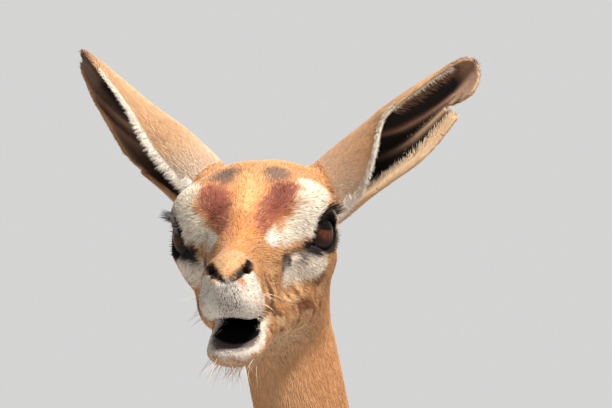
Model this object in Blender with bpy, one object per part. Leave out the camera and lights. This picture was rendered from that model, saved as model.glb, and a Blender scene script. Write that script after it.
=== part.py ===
"""A life-size gerenuk, hornless, standing with its neck up, its head turned and its mouth a little open.

The flesh is one smooth body of rounded forms, meshed once and then parted by thin cuts into the pieces that a
person would name. Eyes, ears, hooves and the tail's tuft are modelled by themselves. Sizes are in metres.
The animal faces -Y, its left side is +X, and the soles of its hooves lie at Z = 0.
"""

import math

import bmesh
import bpy
import numpy as np
from mathutils import Matrix, Vector

# Driving sizes of the animal
HEIGHT_AT_WITHERS = 0.925
CHEST_DEPTH = 0.300
CHEST_WIDTH = 0.206
EYE_RADIUS = 0.0155
LID_THICKNESS = 0.0024
EAR_LENGTH = 0.137
EAR_THICKNESS = 0.0030
HOOF_LENGTH = 0.054
HOOF_HEIGHT = 0.034
HOOF_WIDTH = 0.0172
TUFT_LENGTH = 0.085
TUFT_LOCKS = 11
PARTING = 0.0003

# Pose of the head: the point midway between the eyes, and how far the head turns, dips and tilts
HEAD_AT = Vector((0.0, -0.600, 1.315))
HEAD_TURN = math.radians(13.5)
HEAD_DIP = math.radians(3.0)
HEAD_TILT = math.radians(-2.0)

# How finely the flesh is measured, and how many triangles are left of it once it is thinned
BODY_CELL = 0.0055
HEAD_CELL = 0.0015
BODY_TRIANGLES = 5000
HEAD_TRIANGLES = 4200

HEAD_TO_BODY = (
    Matrix.Translation(HEAD_AT)
    @ Matrix.Rotation(HEAD_TURN, 4, "Z")
    @ Matrix.Rotation(HEAD_DIP, 4, "X")
    @ Matrix.Rotation(HEAD_TILT, 4, "Y")
)


# Rounded forms, each a function of points that is negative inside and grows by about a metre per metre outside


def egg(points, centre, radii):
    """An ellipsoid with its axes along X, Y and Z."""
    offset = points - np.array(centre)
    share = np.linalg.norm(offset / radii, axis=1)
    slope = np.linalg.norm(offset / np.square(radii), axis=1)
    return share * (share - 1.0) / np.maximum(slope, 1e-6)


def rod(points, start, end, start_radius, end_radius):
    """A straight tapered rod with round ends."""
    start = np.array(start)
    run = np.array(end) - start
    along = np.clip((points - start) @ run / (run @ run), 0.0, 1.0)
    away = np.linalg.norm(points - start - along[:, None] * run, axis=1)
    return away - (start_radius + (end_radius - start_radius) * along)


def course(stations, steps=7):
    """Rows on a smooth course through the stations, which are rows of numbers of any kind."""
    rows = np.array(stations, float)
    before = np.vstack([2 * rows[0] - rows[1], rows, 2 * rows[-1] - rows[-2]])
    made = []
    for i in range(len(rows) - 1):
        a, b, c, d = before[i : i + 4]
        for t in np.arange(steps) / steps:
            made.append(
                0.5 * (2 * b + (c - a) * t + (2 * a - 5 * b + 4 * c - d) * t**2 + (3 * b - a - 3 * c + d) * t**3)
            )
    return np.array(made + [rows[-1]])


def limb(points, stations):
    """A long form of oval section along a smooth course. A station is x, y, z, half width across the body, half
    depth, and how much wider the section grows towards its underside or front."""
    line = course(stations)
    start, run, growth = line[:-1, :3], np.diff(line[:, :3], axis=0), np.diff(line[:, 3:], axis=0)
    run_square = (run**2).sum(1)
    way = run / np.sqrt(run_square)[:, None]
    across = np.array([1.0, 0.0, 0.0]) - way[:, :1] * way
    across /= np.linalg.norm(across, axis=1)[:, None]
    depth = np.cross(way, across)

    reach = line[:, 3:5].max() + 0.06
    near = ((points > line[:, :3].min(0) - reach) & (points < line[:, :3].max(0) + reach)).all(1)
    result = np.full(len(points), 0.2)
    for some in np.array_split(np.flatnonzero(near), max(1, near.sum() // 20000)):
        here = points[some]
        forward = (here @ run.T - (start * run).sum(1)) / run_square
        along = np.clip(forward, 0.0, 1.0)
        square = -2.0 * here @ start.T + (start**2).sum(1) + (along * along - 2.0 * forward * along) * run_square
        nearest = square.argmin(1)
        share = np.take_along_axis(along, nearest[:, None], 1)
        offset = here - start[nearest] - share * run[nearest]
        width, height, taper = (line[nearest, 3:] + share * growth[nearest]).T
        u, v, w = ((offset * axis[nearest]).sum(1) for axis in (across, depth, way))
        inner = ((share[:, 0] > 0.0) | (nearest > 0)) & ((share[:, 0] < 1.0) | (nearest < len(run) - 1))
        w = np.where(inner, 0.0, w)
        width = width * (1.0 + taper * np.clip(v / height, -1.0, 1.0))
        end = np.minimum(width, height)
        k0 = np.sqrt((u / width) ** 2 + (v / height) ** 2 + (w / end) ** 2)
        k1 = np.sqrt((u / width**2) ** 2 + (v / height**2) ** 2 + (w / end**2) ** 2)
        result[some] = k0 * (k0 - 1.0) / np.maximum(k1, 1e-6)
    return result


def join(first, second, softness):
    """The union of two forms, rounded where they meet."""
    h = np.clip(0.5 + 0.5 * (first - second) / softness, 0.0, 1.0)
    return second * h + first * (1.0 - h) - softness * h * (1.0 - h)


def carve(form, tool, softness):
    """A form with a tool's form cut out of it, its edges rounded."""
    return -join(-form, tool, softness)


# The body


def trunk(points):
    """Chest, belly and croup: y, z, half width, half depth and taper along the back."""
    half_depth = CHEST_DEPTH / 2
    half_width = CHEST_WIDTH / 2
    middle = HEIGHT_AT_WITHERS - half_depth
    rows = (
        (-0.305, middle + 0.000, 0.048, 0.072, 0.0),
        (-0.265, middle - 0.002, 0.070, 0.112, -0.05),
        (-0.205, middle, 0.88 * half_width, half_depth, -0.10),
        (-0.080, middle - 0.006, half_width, 0.95 * half_depth, -0.02),
        (0.050, middle + 0.002, half_width, 0.875 * half_depth, 0.02),
        (0.160, middle + 0.017, 0.94 * half_width, 0.81 * half_depth, -0.05),
        (0.255, middle + 0.032, 0.86 * half_width, 0.76 * half_depth, -0.12),
        (0.318, middle + 0.042, 0.052, 0.068, -0.15),
    )
    return limb(points, [(0.0, *row) for row in rows])


def neck(points):
    """The long slim neck from between the shoulders to the back of the skull."""
    rows = (
        (0.0, -0.235, 0.800, 0.056, 0.090, 0.0),
        (0.0, -0.320, 0.885, 0.046, 0.072, 0.0),
        (0.0, -0.392, 0.985, 0.038, 0.055, 0.0),
        (0.000, -0.452, 1.090, 0.0330, 0.0450, 0.0),
        (-0.002, -0.502, 1.190, 0.0285, 0.0395, 0.0),
        (-0.006, -0.532, 1.260, 0.0270, 0.0370, 0.0),
        (-0.010, -0.558, 1.296, 0.0240, 0.0270, 0.0),
    )
    return limb(points, rows)


FORELEG = (
    (0.058, -0.215, 0.800, 0.030, 0.060, 0.0),
    (0.070, -0.235, 0.715, 0.032, 0.058, 0.0),
    (0.072, -0.215, 0.650, 0.029, 0.048, 0.0),
    (0.069, -0.205, 0.590, 0.0235, 0.0350, 0.0),
    (0.067, -0.212, 0.500, 0.0185, 0.0240, 0.0),
    (0.065, -0.219, 0.410, 0.0150, 0.0175, 0.0),
    (0.064, -0.222, 0.358, 0.0180, 0.0200, 0.0),
    (0.064, -0.218, 0.318, 0.0140, 0.0155, 0.0),
    (0.063, -0.217, 0.235, 0.0108, 0.0128, 0.0),
    (0.063, -0.217, 0.155, 0.0110, 0.0130, 0.0),
    (0.063, -0.218, 0.112, 0.0148, 0.0165, 0.0),
    (0.063, -0.236, 0.073, 0.0128, 0.0138, 0.0),
    (0.063, -0.253, 0.042, 0.0158, 0.0165, 0.0),
)
HINDLEG = (
    (0.050, 0.265, 0.835, 0.036, 0.070, 0.0),
    (0.066, 0.240, 0.755, 0.040, 0.092, 0.0),
    (0.074, 0.200, 0.675, 0.035, 0.074, 0.0),
    (0.074, 0.205, 0.600, 0.0275, 0.0520, 0.0),
    (0.070, 0.255, 0.520, 0.0200, 0.0330, 0.0),
    (0.066, 0.315, 0.445, 0.0155, 0.0235, 0.0),
    (0.064, 0.345, 0.400, 0.0165, 0.0240, 0.0),
    (0.063, 0.343, 0.350, 0.0135, 0.0180, 0.0),
    (0.062, 0.326, 0.255, 0.0115, 0.0138, 0.0),
    (0.062, 0.310, 0.165, 0.0113, 0.0135, 0.0),
    (0.062, 0.301, 0.118, 0.0150, 0.0168, 0.0),
    (0.062, 0.281, 0.077, 0.0130, 0.0140, 0.0),
    (0.062, 0.263, 0.043, 0.0158, 0.0168, 0.0),
)
# How far each leg is set forward at the ground, so that the stance isn't stiff
STRIDES = {"front_left": 0.012, "front_right": -0.030, "hind_left": -0.028, "hind_right": 0.022}


def stations_of(leg):
    """The leg's stations on its own side, swung a little from its root."""
    front, left = leg.startswith("front"), leg.endswith("left")
    rows = FORELEG if front else HINDLEG
    root_height = 0.72
    swung = []
    for x, y, z, width, depth, taper in rows:
        swing = STRIDES[leg] * min(1.0, max(0.0, (root_height - z) / root_height))
        swung.append((x if left else -x, y + swing, z, width, depth, taper))
    return swung


def leg_form(points, leg):
    """One leg with its joints, the heel's tendon behind a hock, and two dewclaws."""
    rows = stations_of(leg)
    sign = 1.0 if leg.endswith("left") else -1.0
    form = limb(points, rows)
    fetlock = np.array(rows[10][:3])
    if leg.startswith("front"):
        elbow = np.array(rows[3][:3]) + (0.0, 0.022, 0.030)
        form = join(form, egg(points, elbow, (0.014, 0.020, 0.028)), 0.020)
    else:
        heel = np.array(rows[6][:3]) + (0.0, 0.021, 0.022)
        calf = np.array(rows[4][:3]) + (0.0, 0.004, 0.035)
        form = join(form, rod(points, calf, heel, 0.020, 0.0095), 0.018)
        stifle = np.array(rows[2][:3]) + (0.0, -0.050, -0.020)
        form = join(form, egg(points, stifle, (0.024, 0.026, 0.034)), 0.030)
    heel_bulb = np.array(rows[12][:3]) + (0.0, 0.012, -0.0120)
    form = join(form, egg(points, heel_bulb, (0.0150, 0.0125, 0.0150)), 0.010)
    for side in (-1.0, 1.0):
        claw = fetlock + (side * sign * 0.0085, 0.0135, -0.0110)
        form = join(form, egg(points, claw, (0.0052, 0.0062, 0.0082)), 0.006)
    return form


TAIL = (
    (0.0, 0.330, 0.862, 0.0150, 0.0200, 0.0),
    (0.0, 0.366, 0.838, 0.0115, 0.0135, 0.0),
    (0.0, 0.388, 0.795, 0.0085, 0.0090, 0.0),
    (0.0, 0.396, 0.740, 0.0070, 0.0074, 0.0),
    (0.002, 0.397, 0.680, 0.0062, 0.0064, 0.0),
    (0.004, 0.395, 0.625, 0.0045, 0.0045, 0.0),
)


def body(points):
    """Trunk, neck, legs and tail in one skin."""
    form = join(trunk(points), neck(points), 0.080)
    withers = rod(points, (0.0, -0.235, 0.888), (0.0, 0.060, 0.868), 0.030, 0.024)
    form = join(form, withers, 0.045)
    mirrored = points.copy()
    mirrored[:, 0] = np.abs(points[:, 0])
    shoulder = egg(mirrored, (0.054, -0.240, 0.770), (0.036, 0.062, 0.105))
    haunch = egg(mirrored, (0.050, 0.245, 0.795), (0.045, 0.092, 0.088))
    form = join(join(form, shoulder, 0.055), haunch, 0.050)
    for leg in STRIDES:
        form = join(form, leg_form(points, leg), 0.022)
    return join(form, limb(points, TAIL), 0.016)


# The head, in its own frame: its origin lies midway between the eyes, its nose points along -Y


EYE_AT = np.array((0.0328, 0.0, -0.0012))
GAZE = Vector((0.86, -0.49, 0.12)).normalized()
EAR_ROOT = np.array((0.0232, 0.0625, 0.0155))


def skull(points):
    """Muzzle, face and braincase: y, top, bottom, half width and taper from the nose to the nape."""
    rows = (
        (-0.1130, -0.0175, -0.0450, 0.0125, 0.10),
        (-0.1040, -0.0125, -0.0485, 0.0160, 0.08),
        (-0.0860, -0.0065, -0.0495, 0.0168, 0.08),
        (-0.0620, 0.0020, -0.0490, 0.0192, 0.06),
        (-0.0380, 0.0130, -0.0470, 0.0250, 0.04),
        (-0.0120, 0.0265, -0.0450, 0.0325, -0.02),
        (0.0180, 0.0385, -0.0440, 0.0370, -0.06),
        (0.0500, 0.0422, -0.0400, 0.0360, -0.06),
        (0.0700, 0.0335, -0.0340, 0.0300, 0.0),
        (0.0810, 0.0240, -0.0240, 0.0225, 0.0),
    )
    return limb(points, [(0.0, y, (top + low) / 2, w, (top - low) / 2, taper) for y, top, low, w, taper in rows])


def lower_jaw(points):
    """The dropped lower jaw, from the lip to the angle under the ear."""
    rows = (
        (-0.1050, -0.0610, -0.0755, 0.0140, -0.05),
        (-0.0970, -0.0585, -0.0770, 0.0170, -0.08),
        (-0.0830, -0.0510, -0.0760, 0.0178, -0.10),
        (-0.0620, -0.0450, -0.0725, 0.0186, -0.12),
        (-0.0350, -0.0400, -0.0680, 0.0205, -0.12),
        (-0.0050, -0.0350, -0.0645, 0.0265, -0.15),
        (0.0250, -0.0260, -0.0610, 0.0320, -0.10),
        (0.0500, -0.0160, -0.0510, 0.0290, 0.0),
    )
    return limb(points, [(0.0, y, (top + low) / 2, w, (top - low) / 2, taper) for y, top, low, w, taper in rows])


def eye_opening(points):
    """The gap between the lids, as a form: almond shaped across the gaze, its front corner drawn down."""
    gaze = np.array(GAZE)
    forward = np.cross((0.0, 0.0, 1.0), gaze)
    forward /= np.linalg.norm(forward)
    upward = np.cross(gaze, forward)
    corner_droop = math.radians(24.0)
    long_way = -forward * math.cos(corner_droop) - upward * math.sin(corner_droop)
    high_way = upward * math.cos(corner_droop) - forward * math.sin(corner_droop)
    offset = points - EYE_AT
    u, v, w = (offset @ axis for axis in (long_way, high_way, gaze))
    half_length = 0.0142
    half_height = 0.0102
    arch = 1.0 - (u / half_length) ** 2
    gap = np.abs(v) - half_height * np.clip(arch, -1.5, 1.0)
    slope = np.sqrt(1.0 + (2.0 * half_height * u / half_length**2) ** 2)
    within_ball = EYE_RADIUS - 0.0015 - np.linalg.norm(offset, axis=1)
    return np.maximum(np.maximum(gap / slope, 0.003 - w), within_ball)


def head(points):
    """The whole head from points in its own frame, alike on both sides."""
    side = points.copy()
    side[:, 0] = np.abs(points[:, 0])
    form = skull(side)
    form = join(form, egg(side, (0.0, -0.0985, -0.0240), (0.0158, 0.0190, 0.0120)), 0.010)
    form = join(form, rod(side, (0.0092, -0.1075, -0.0395), (0.0115, -0.0700, -0.0370), 0.0092, 0.0085), 0.008)
    form = join(form, egg(side, (0.0120, 0.0400, 0.0280), (0.0240, 0.0360, 0.0135)), 0.020)
    form = join(form, egg(side, (0.0325, 0.0030, 0.0018), (0.0140, 0.0215, 0.0215)), 0.018)
    form = join(form, egg(side, (0.0300, 0.0030, 0.0180), (0.0130, 0.0220, 0.0105)), 0.022)
    form = join(form, rod(side, (0.0310, -0.0080, -0.0170), (0.0335, 0.0400, -0.0140), 0.0085, 0.0110), 0.016)
    form = join(form, egg(side, (0.0220, 0.0260, -0.0330), (0.0160, 0.0360, 0.0270)), 0.016)
    ear_way = np.array((0.72, 0.06, 0.68))
    form = join(form, rod(side, EAR_ROOT, EAR_ROOT + 0.016 * ear_way, 0.0150, 0.0095), 0.018)
    form = join(form, lower_jaw(side), 0.006)
    form = join(form, rod(side, (0.0115, -0.0560, -0.0440), (0.0210, -0.0060, -0.0420), 0.0070, 0.0125), 0.012)
    throat = rod(side, (0.0, 0.030, -0.040), (0.0, 0.075, -0.020), 0.022, 0.026)
    form = join(form, throat, 0.020)

    # The mouth's hollow between the tongue's bed and the palate
    hollow = limb(
        side,
        [
            (0.0, -0.1260, -0.0575, 0.0150, 0.0065, 0.0),
            (0.0, -0.1050, -0.0565, 0.0148, 0.0085, 0.0),
            (0.0, -0.0880, -0.0535, 0.0128, 0.0080, 0.0),
            (0.0, -0.0660, -0.0480, 0.0085, 0.0050, 0.0),
            (0.0, -0.0400, -0.0430, 0.0060, 0.0035, 0.0),
        ],
    )
    form = carve(form, hollow, 0.003)

    # Nostrils, which climb outward from the bare point of the nose
    form = carve(form, rod(side, (0.0020, -0.1250, -0.0262), (0.0080, -0.1180, -0.0205), 0.0012, 0.0020), 0.0020)
    form = carve(form, rod(side, (0.0080, -0.1180, -0.0205), (0.0125, -0.1078, -0.0170), 0.0020, 0.0026), 0.0020)
    form = carve(form, rod(side, (0.0110, -0.1120, -0.0195), (0.0080, -0.1020, -0.0220), 0.0024, 0.0018), 0.0015)

    # The scent gland's slit runs down from the eye's front corner
    form = carve(form, rod(side, (0.0375, -0.0190, -0.0075), (0.0290, -0.0380, -0.0150), 0.0012, 0.0022), 0.005)

    # Lids wrap the eyeball, open in an almond, and the socket fits the eyeball
    lids = np.linalg.norm(side - EYE_AT, axis=1) - (EYE_RADIUS + LID_THICKNESS)
    form = join(form, lids, 0.006)
    form = carve(form, eye_opening(side), 0.0010)
    return form


def to_head(points):
    """Points of the body's frame in the head's own."""
    return (points - np.array(HEAD_AT)) @ np.array(HEAD_TO_BODY.to_3x3())


def upper_animal(points):
    """The head with the neck that it sits on."""
    return join(neck(points), head(to_head(points)), 0.022)


def animal(points):
    """All the flesh but the ears, in the body's frame. The head is measured only where it can reach."""
    form = body(points)
    near = points[:, 2] > 1.15
    form[near] = join(form[near], head(to_head(points[near])), 0.022)
    return form


# Each ear: the way from its root to its tip, the way its cup opens, how far the cup turns outward at the root, and
# how far along and how deep its outer edge is notched
EARS = {
    "left": {"way": (0.79, -0.05, 0.61), "opens": (0.28, -0.86, -0.43), "turn": 62.0, "notch": 0.82, "depth": 0.45},
    "right": {"way": (-0.66, 0.16, 0.74), "opens": (-0.68, -0.54, -0.50), "turn": -27.0, "notch": 0.39, "depth": 0.12},
}
NOTCH_REACH = 0.035
# Along an ear from root to tip: share of the length, radius of the cup, and half its breadth if laid flat
EAR_ROWS = (
    (0.00, 0.0165, 0.0400),
    (0.20, 0.0174, 0.0480),
    (0.40, 0.0180, 0.0435),
    (0.60, 0.0188, 0.0315),
    (0.78, 0.0160, 0.0225),
    (0.90, 0.0132, 0.0152),
    (0.97, 0.0114, 0.0094),
    (1.00, 0.0102, 0.0030),
)


def ear_sheet(side, rows, columns):
    """An ear's cupped leaf as a closed sheet, in the head's frame: vertices and faces."""
    shape = EARS[side]
    sign = 1.0 if side == "left" else -1.0
    way = np.array(shape["way"]) / np.linalg.norm(shape["way"])
    opens = np.array(shape["opens"]) - np.dot(shape["opens"], way) * way
    opens /= np.linalg.norm(opens)
    table = course(EAR_ROWS)
    along = 1.0 - (1.0 - np.linspace(0.0, 1.0, rows)) ** 1.25
    notch_rows = shape["notch"] + NOTCH_REACH * np.array((-1.0, 0.0, 1.0))
    along = np.sort(np.concatenate([along[np.abs(along - shape["notch"]) > 1.4 * NOTCH_REACH], notch_rows]))
    rows = len(along)
    radius = np.interp(along, table[:, 0], table[:, 1])
    breadth = np.interp(along, table[:, 0], table[:, 2])
    notched = shape["depth"] * np.maximum(0.0, 1.0 - np.abs(along - shape["notch"]) / NOTCH_REACH)
    across = np.linspace(-1.0, 1.0, columns)
    layers = []
    for offset in (EAR_THICKNESS / 2, -EAR_THICKNESS / 2):
        sheet = np.zeros((rows, columns, 3))
        for i, s in enumerate(along):
            turn = math.radians(shape["turn"]) * max(0.0, 1.0 - s / 0.55) * sign
            open_way = np.array(Matrix.Rotation(turn, 3, Vector(way)) @ Vector(opens))
            side_way = np.cross(way, open_way)
            half = breadth[i] / radius[i]
            angles = across * half * np.where(across * sign > 0.0, 1.0 - notched[i], 1.0)
            centre = EAR_ROOT * (sign, 1, 1) + way * EAR_LENGTH * s
            centre = centre + open_way * (radius[i] * math.sin(half) / half)
            bow = np.sin(angles)[:, None] * side_way - np.cos(angles)[:, None] * open_way
            sheet[i] = centre + (radius[i] + offset) * bow
        layers.append(sheet)
    vertices = np.concatenate([sheet.reshape(-1, 3) for sheet in layers])
    return vertices, sheet_faces(rows, columns)


def sheet_faces(rows, columns):
    """Triangles of a closed sheet of two layers, split alike on both, with a rim of its own between them."""
    count = rows * columns
    index = np.arange(count).reshape(rows, columns)
    a, b, c, d = (index[i:, j:][: rows - 1, : columns - 1].ravel() for i, j in ((0, 0), (0, 1), (1, 1), (1, 0)))
    outer = np.concatenate([np.stack([a, c, b], 1), np.stack([a, d, c], 1)])
    inner = outer[:, ::-1] + count
    rim = np.concatenate([index[0, :], index[1:, -1], index[-1, -2::-1], index[-2:0:-1, 0]])
    after = np.roll(rim, -1)
    edge = np.concatenate([np.stack([rim, after + count, rim + count], 1), np.stack([rim, after, after + count], 1)])
    return np.concatenate([outer, inner, edge])


# Meshing the flesh


def measured(form, low, high, cell):
    """The form's values on a grid of points. Far from the surface only their signs are right."""
    block = 6
    span = cell * block
    counts = np.ceil((np.array(high) - low) / span).astype(int)
    corners = np.stack(np.meshgrid(*[np.arange(n) for n in counts], indexing="ij"), -1).reshape(-1, 3)
    rough = form(np.array(low) + (corners + 0.5) * span)
    field = np.repeat(np.sign(rough).astype(np.float32) * 0.1, block**3).reshape(*counts, block, block, block)
    field = field.reshape(-1, block, block, block)
    steps = np.stack(np.meshgrid(*[np.arange(block)] * 3, indexing="ij"), -1).reshape(-1, 3)
    near = np.flatnonzero(np.abs(rough) < span * 1.05)
    for some in np.array_split(near, max(1, len(near) // 300)):
        points = np.array(low) + (corners[some][:, None, :] * block + steps) * cell
        field[some] = form(points.reshape(-1, 3)).reshape(-1, block, block, block)
    field = field.reshape(*counts, block, block, block).transpose(0, 3, 1, 4, 2, 5)
    return field.reshape(counts * block)


def filled_cracks(field):
    """The field with cracks closed that are too thin for the grid, so that no cell holds two surfaces."""
    filling = -1e-4
    for _ in range(12):
        inside = field < 0
        found = 0
        for axis in range(3):
            a, b, c, d = (np.moveaxis(inside, axis, 0)[:, i:, j:] for i, j in ((0, 0), (1, 0), (1, 1), (0, 1)))
            rows, columns = c.shape[1:]
            a, b, c, d = (part[:, :rows, :columns] for part in (a, b, c, d))
            crossed = np.argwhere((a == c) & (b == d) & (a != b))
            found += len(crossed)
            turned = np.moveaxis(field, axis, 0)
            for i, j in ((0, 0), (1, 0), (1, 1), (0, 1)):
                spot = tuple((crossed + (0, i, j)).T)
                turned[spot] = np.minimum(turned[spot], filling)
        nx, ny, nz = np.array(field.shape) - 1
        corner = {
            (i, j, k): inside[i : i + nx, j : j + ny, k : k + nz] for i in (0, 1) for j in (0, 1) for k in (0, 1)
        }
        held = sum(part.astype(np.int8) for part in corner.values())
        for i, j in ((0, 0), (0, 1), (1, 0), (1, 1)):
            ends = corner[0, i, j].astype(np.int8) + corner[1, 1 - i, 1 - j]
            crossed = np.argwhere(((held == 2) & (ends == 2)) | ((held == 6) & (ends == 0)))
            found += len(crossed)
            for move in corner:
                spot = tuple((crossed + move).T)
                field[spot] = np.minimum(field[spot], filling)
        if not found:
            break
    return field


def skinned(form, low, high, cell):
    """Vertices and four-sided faces of the surface where the form is zero: one vertex in each grid cell that the
    surface crosses, drawn onto the surface afterwards."""
    field = filled_cracks(measured(form, low, high, cell))
    inside = field < 0
    corners = [np.array((i, j, k)) for i in (0, 1) for j in (0, 1) for k in (0, 1)]
    nx, ny, nz = np.array(field.shape) - 1
    held = sum(inside[i : i + nx, j : j + ny, k : k + nz].astype(np.int8) for i, j, k in corners)
    crossed = (held > 0) & (held < 8)
    cells = np.argwhere(crossed)
    index = np.full(crossed.shape, -1)
    index[crossed] = np.arange(len(cells))
    total, hits = np.zeros((len(cells), 3)), np.zeros(len(cells))
    for first in corners:
        for second in corners:
            if (second - first).sum() != 1 or (second < first).any():
                continue
            a = field[tuple((cells + first).T)]
            b = field[tuple((cells + second).T)]
            met = (a < 0) != (b < 0)
            share = a[met] / (a[met] - b[met])
            total[met] += first + share[:, None] * (second - first)
            hits[met] += 1
    vertices = np.array(low) + (cells + total / hits[:, None]) * cell
    faces = []
    for axis in range(3):
        step, one, two = (np.roll((1, 0, 0), n) for n in (axis, axis + 1, axis + 2))
        size = np.array(field.shape) - step
        starts = inside[: size[0], : size[1], : size[2]]
        ends = inside[step[0] :, step[1] :, step[2] :]
        edge = np.argwhere(starts != ends)
        edge = edge[((edge > 0) | (step == 1)).all(1) & (edge < np.array(crossed.shape)).all(1)]
        ring = [index[tuple((edge - move).T)] for move in (0 * one, one, one + two, two)]
        quads = np.stack(ring, 1)
        entering = ends[tuple(edge.T)]
        quads[entering] = quads[entering][:, ::-1]
        faces.append(quads)
    return drawn_onto(form, vertices, cell), np.concatenate(faces)


def drawn_onto(form, vertices, cell):
    """Vertices moved along the form's slope until they lie on its surface."""
    reach = 0.25 * cell
    for _ in range(2):
        slope = np.stack([form(vertices + reach * axis) - form(vertices - reach * axis) for axis in np.eye(3)], 1)
        slope /= 2 * reach
        steep = np.maximum((slope**2).sum(1), 0.05)
        step = (form(vertices) / steep)[:, None] * slope
        length = np.linalg.norm(step, axis=1)
        vertices = vertices - step * np.minimum(1.0, 0.5 * cell / np.maximum(length, 1e-9))[:, None]
    return vertices


# Cutting the flesh into its pieces

NECK_CUT_AT = Vector((-0.006, -0.528, 1.250))
NECK_CUT_WAY = Vector((0.0, -0.35, 0.94)).normalized()
SPARE = 0.012


def beyond_neck_cut(points):
    """How far points lie on the head's side of the cut behind the jaw."""
    return (points - np.array(NECK_CUT_AT)) @ np.array(NECK_CUT_WAY)


def upper_flesh(points):
    """The head down to a little below the neck's cut."""
    return np.maximum(upper_animal(points), -SPARE - beyond_neck_cut(points))


def lower_flesh(points):
    """The body up to a little above the neck's cut."""
    return np.maximum(animal(points), beyond_neck_cut(points) - SPARE)


def solid(name, vertices, faces):
    """A mesh object in the scene from points and faces."""
    mesh = bpy.data.meshes.new(name)
    mesh.from_pydata(np.asarray(vertices).tolist(), [], np.asarray(faces).tolist())
    mesh.validate()
    made = bpy.data.objects.new(name, mesh)
    bpy.context.scene.collection.objects.link(made)
    return made


def settle(made, modifier):
    """The object's mesh as the modifier leaves it, with the modifier used up."""
    bpy.context.view_layer.update()
    graph = bpy.context.evaluated_depsgraph_get()
    mesh = bpy.data.meshes.new_from_object(made.evaluated_get(graph), depsgraph=graph)
    made.modifiers.remove(modifier)
    made.data = mesh


def thin(made, triangles):
    """Fewer triangles, with the most left where the surface bends most."""
    made.data.calc_loop_triangles()
    modifier = made.modifiers.new("Thin", "DECIMATE")
    modifier.ratio = triangles / len(made.data.loop_triangles)
    modifier.use_collapse_triangulate = True
    settle(made, modifier)
    whole = solid("Whole", *loose_parts(made.data)[0])
    made.data = whole.data
    bpy.data.objects.remove(whole)


def combine(made, tools, operation):
    """Cuts the tools from an object, or fuses them to it, and removes them."""
    shelf = bpy.data.collections.new("Tools")
    bpy.context.scene.collection.children.link(shelf)
    for tool in tools:
        tool.hide_render = True
        tool.display_type = "WIRE"
        shelf.objects.link(tool)
    modifier = made.modifiers.new(operation.title(), "BOOLEAN")
    modifier.operation = operation
    modifier.operand_type = "COLLECTION"
    modifier.collection = shelf
    modifier.solver = "EXACT"
    settle(made, modifier)
    for tool in tools:
        bpy.data.objects.remove(tool)
    bpy.data.collections.remove(shelf)


def slab(centre, way, along, sizes):
    """A flat box across a way. Its first side lies along the second direction, and the last size is its thickness."""
    way = Vector(way).normalized()
    along = (Vector(along) - Vector(along).dot(way) * way).normalized()
    turn = Matrix((along, way.cross(along), way)).transposed()
    corners = [(x, y, z) for x in (-0.5, 0.5) for y in (-0.5, 0.5) for z in (-0.5, 0.5)]
    vertices = [Vector(centre) + turn @ Vector([c * size for c, size in zip(corner, sizes)]) for corner in corners]
    faces = ((0, 1, 3, 2), (4, 6, 7, 5), (0, 4, 5, 1), (2, 3, 7, 6), (0, 2, 6, 4), (1, 5, 7, 3))
    return solid("Slab", [tuple(v) for v in vertices], faces)


def loose_parts(mesh):
    """The closed surfaces of a mesh, each as points and faces, the largest first. Splinters that a cut has left, far
    thinner than a hair, are closed up."""
    splinter = 0.000004
    bm = bmesh.new()
    bm.from_mesh(mesh)
    bmesh.ops.triangulate(bm, faces=bm.faces)
    bmesh.ops.remove_doubles(bm, verts=bm.verts, dist=splinter)
    bmesh.ops.dissolve_degenerate(bm, edges=bm.edges, dist=splinter / 10)
    bmesh.ops.triangulate(bm, faces=bm.faces)
    bm.verts.index_update()
    bm.faces.index_update()
    seen, parts = set(), []
    for start in bm.verts:
        if start in seen:
            continue
        group, edge_of_search = [], [start]
        seen.add(start)
        while edge_of_search:
            vertex = edge_of_search.pop()
            group.append(vertex)
            for edge in vertex.link_edges:
                other = edge.other_vert(vertex)
                if other not in seen:
                    seen.add(other)
                    edge_of_search.append(other)
        order = {vertex: i for i, vertex in enumerate(group)}
        faces = {face for vertex in group for face in vertex.link_faces}
        faces = sorted(faces, key=lambda face: face.index)
        points = np.array([vertex.co for vertex in group])
        parts.append((points, [[order[vertex] for vertex in face.verts] for face in faces]))
    bm.free()
    parts.sort(key=lambda part: -abs(volume(*part)))
    return parts


def volume(points, faces):
    """The volume within a closed surface of triangles."""
    a, b, c = (points[np.array(faces)[:, i]] for i in range(3)) if len(faces) else (np.zeros((1, 3)),) * 3
    return float((a * np.cross(b, c)).sum() / 6.0)


# Materials and the finished pieces

COLOURS = {
    "Fawn coat": ((0.50, 0.26, 0.12), 0.85),
    "Pale coat": ((0.72, 0.52, 0.33), 0.85),
    "Ear skin": ((0.56, 0.36, 0.22), 0.80),
    "Wet eye": ((0.030, 0.014, 0.008), 0.08),
    "Dark horn": ((0.045, 0.038, 0.034), 0.40),
    "Black hair": ((0.028, 0.022, 0.020), 0.75),
}


def material(name):
    """The named finish."""
    if name in bpy.data.materials:
        return bpy.data.materials[name]
    colour, roughness = COLOURS[name]
    made = bpy.data.materials.new(name)
    made.use_nodes = True
    shader = made.node_tree.nodes["Principled BSDF"]
    shader.inputs["Base Color"].default_value = (*colour, 1.0)
    shader.inputs["Roughness"].default_value = roughness
    shader.inputs["Metallic"].default_value = 0.0
    return made


def finished(name, vertices, faces, finish):
    """A piece of the animal, smooth, in its finish and under the root."""
    made = solid(name, vertices, faces)
    made.data.materials.append(material(finish))
    made.data.shade_smooth()
    made.data.set_sharp_from_angle(angle=math.radians(50.0))
    made.parent = root
    return made


def largest(made, finish):
    """The largest closed surface of a rough object as the finished piece of the same name."""
    name = made.name
    points, faces = loose_parts(made.data)[0]
    bpy.data.objects.remove(made)
    return finished(name, points, faces, finish)


# The body's pieces


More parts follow.
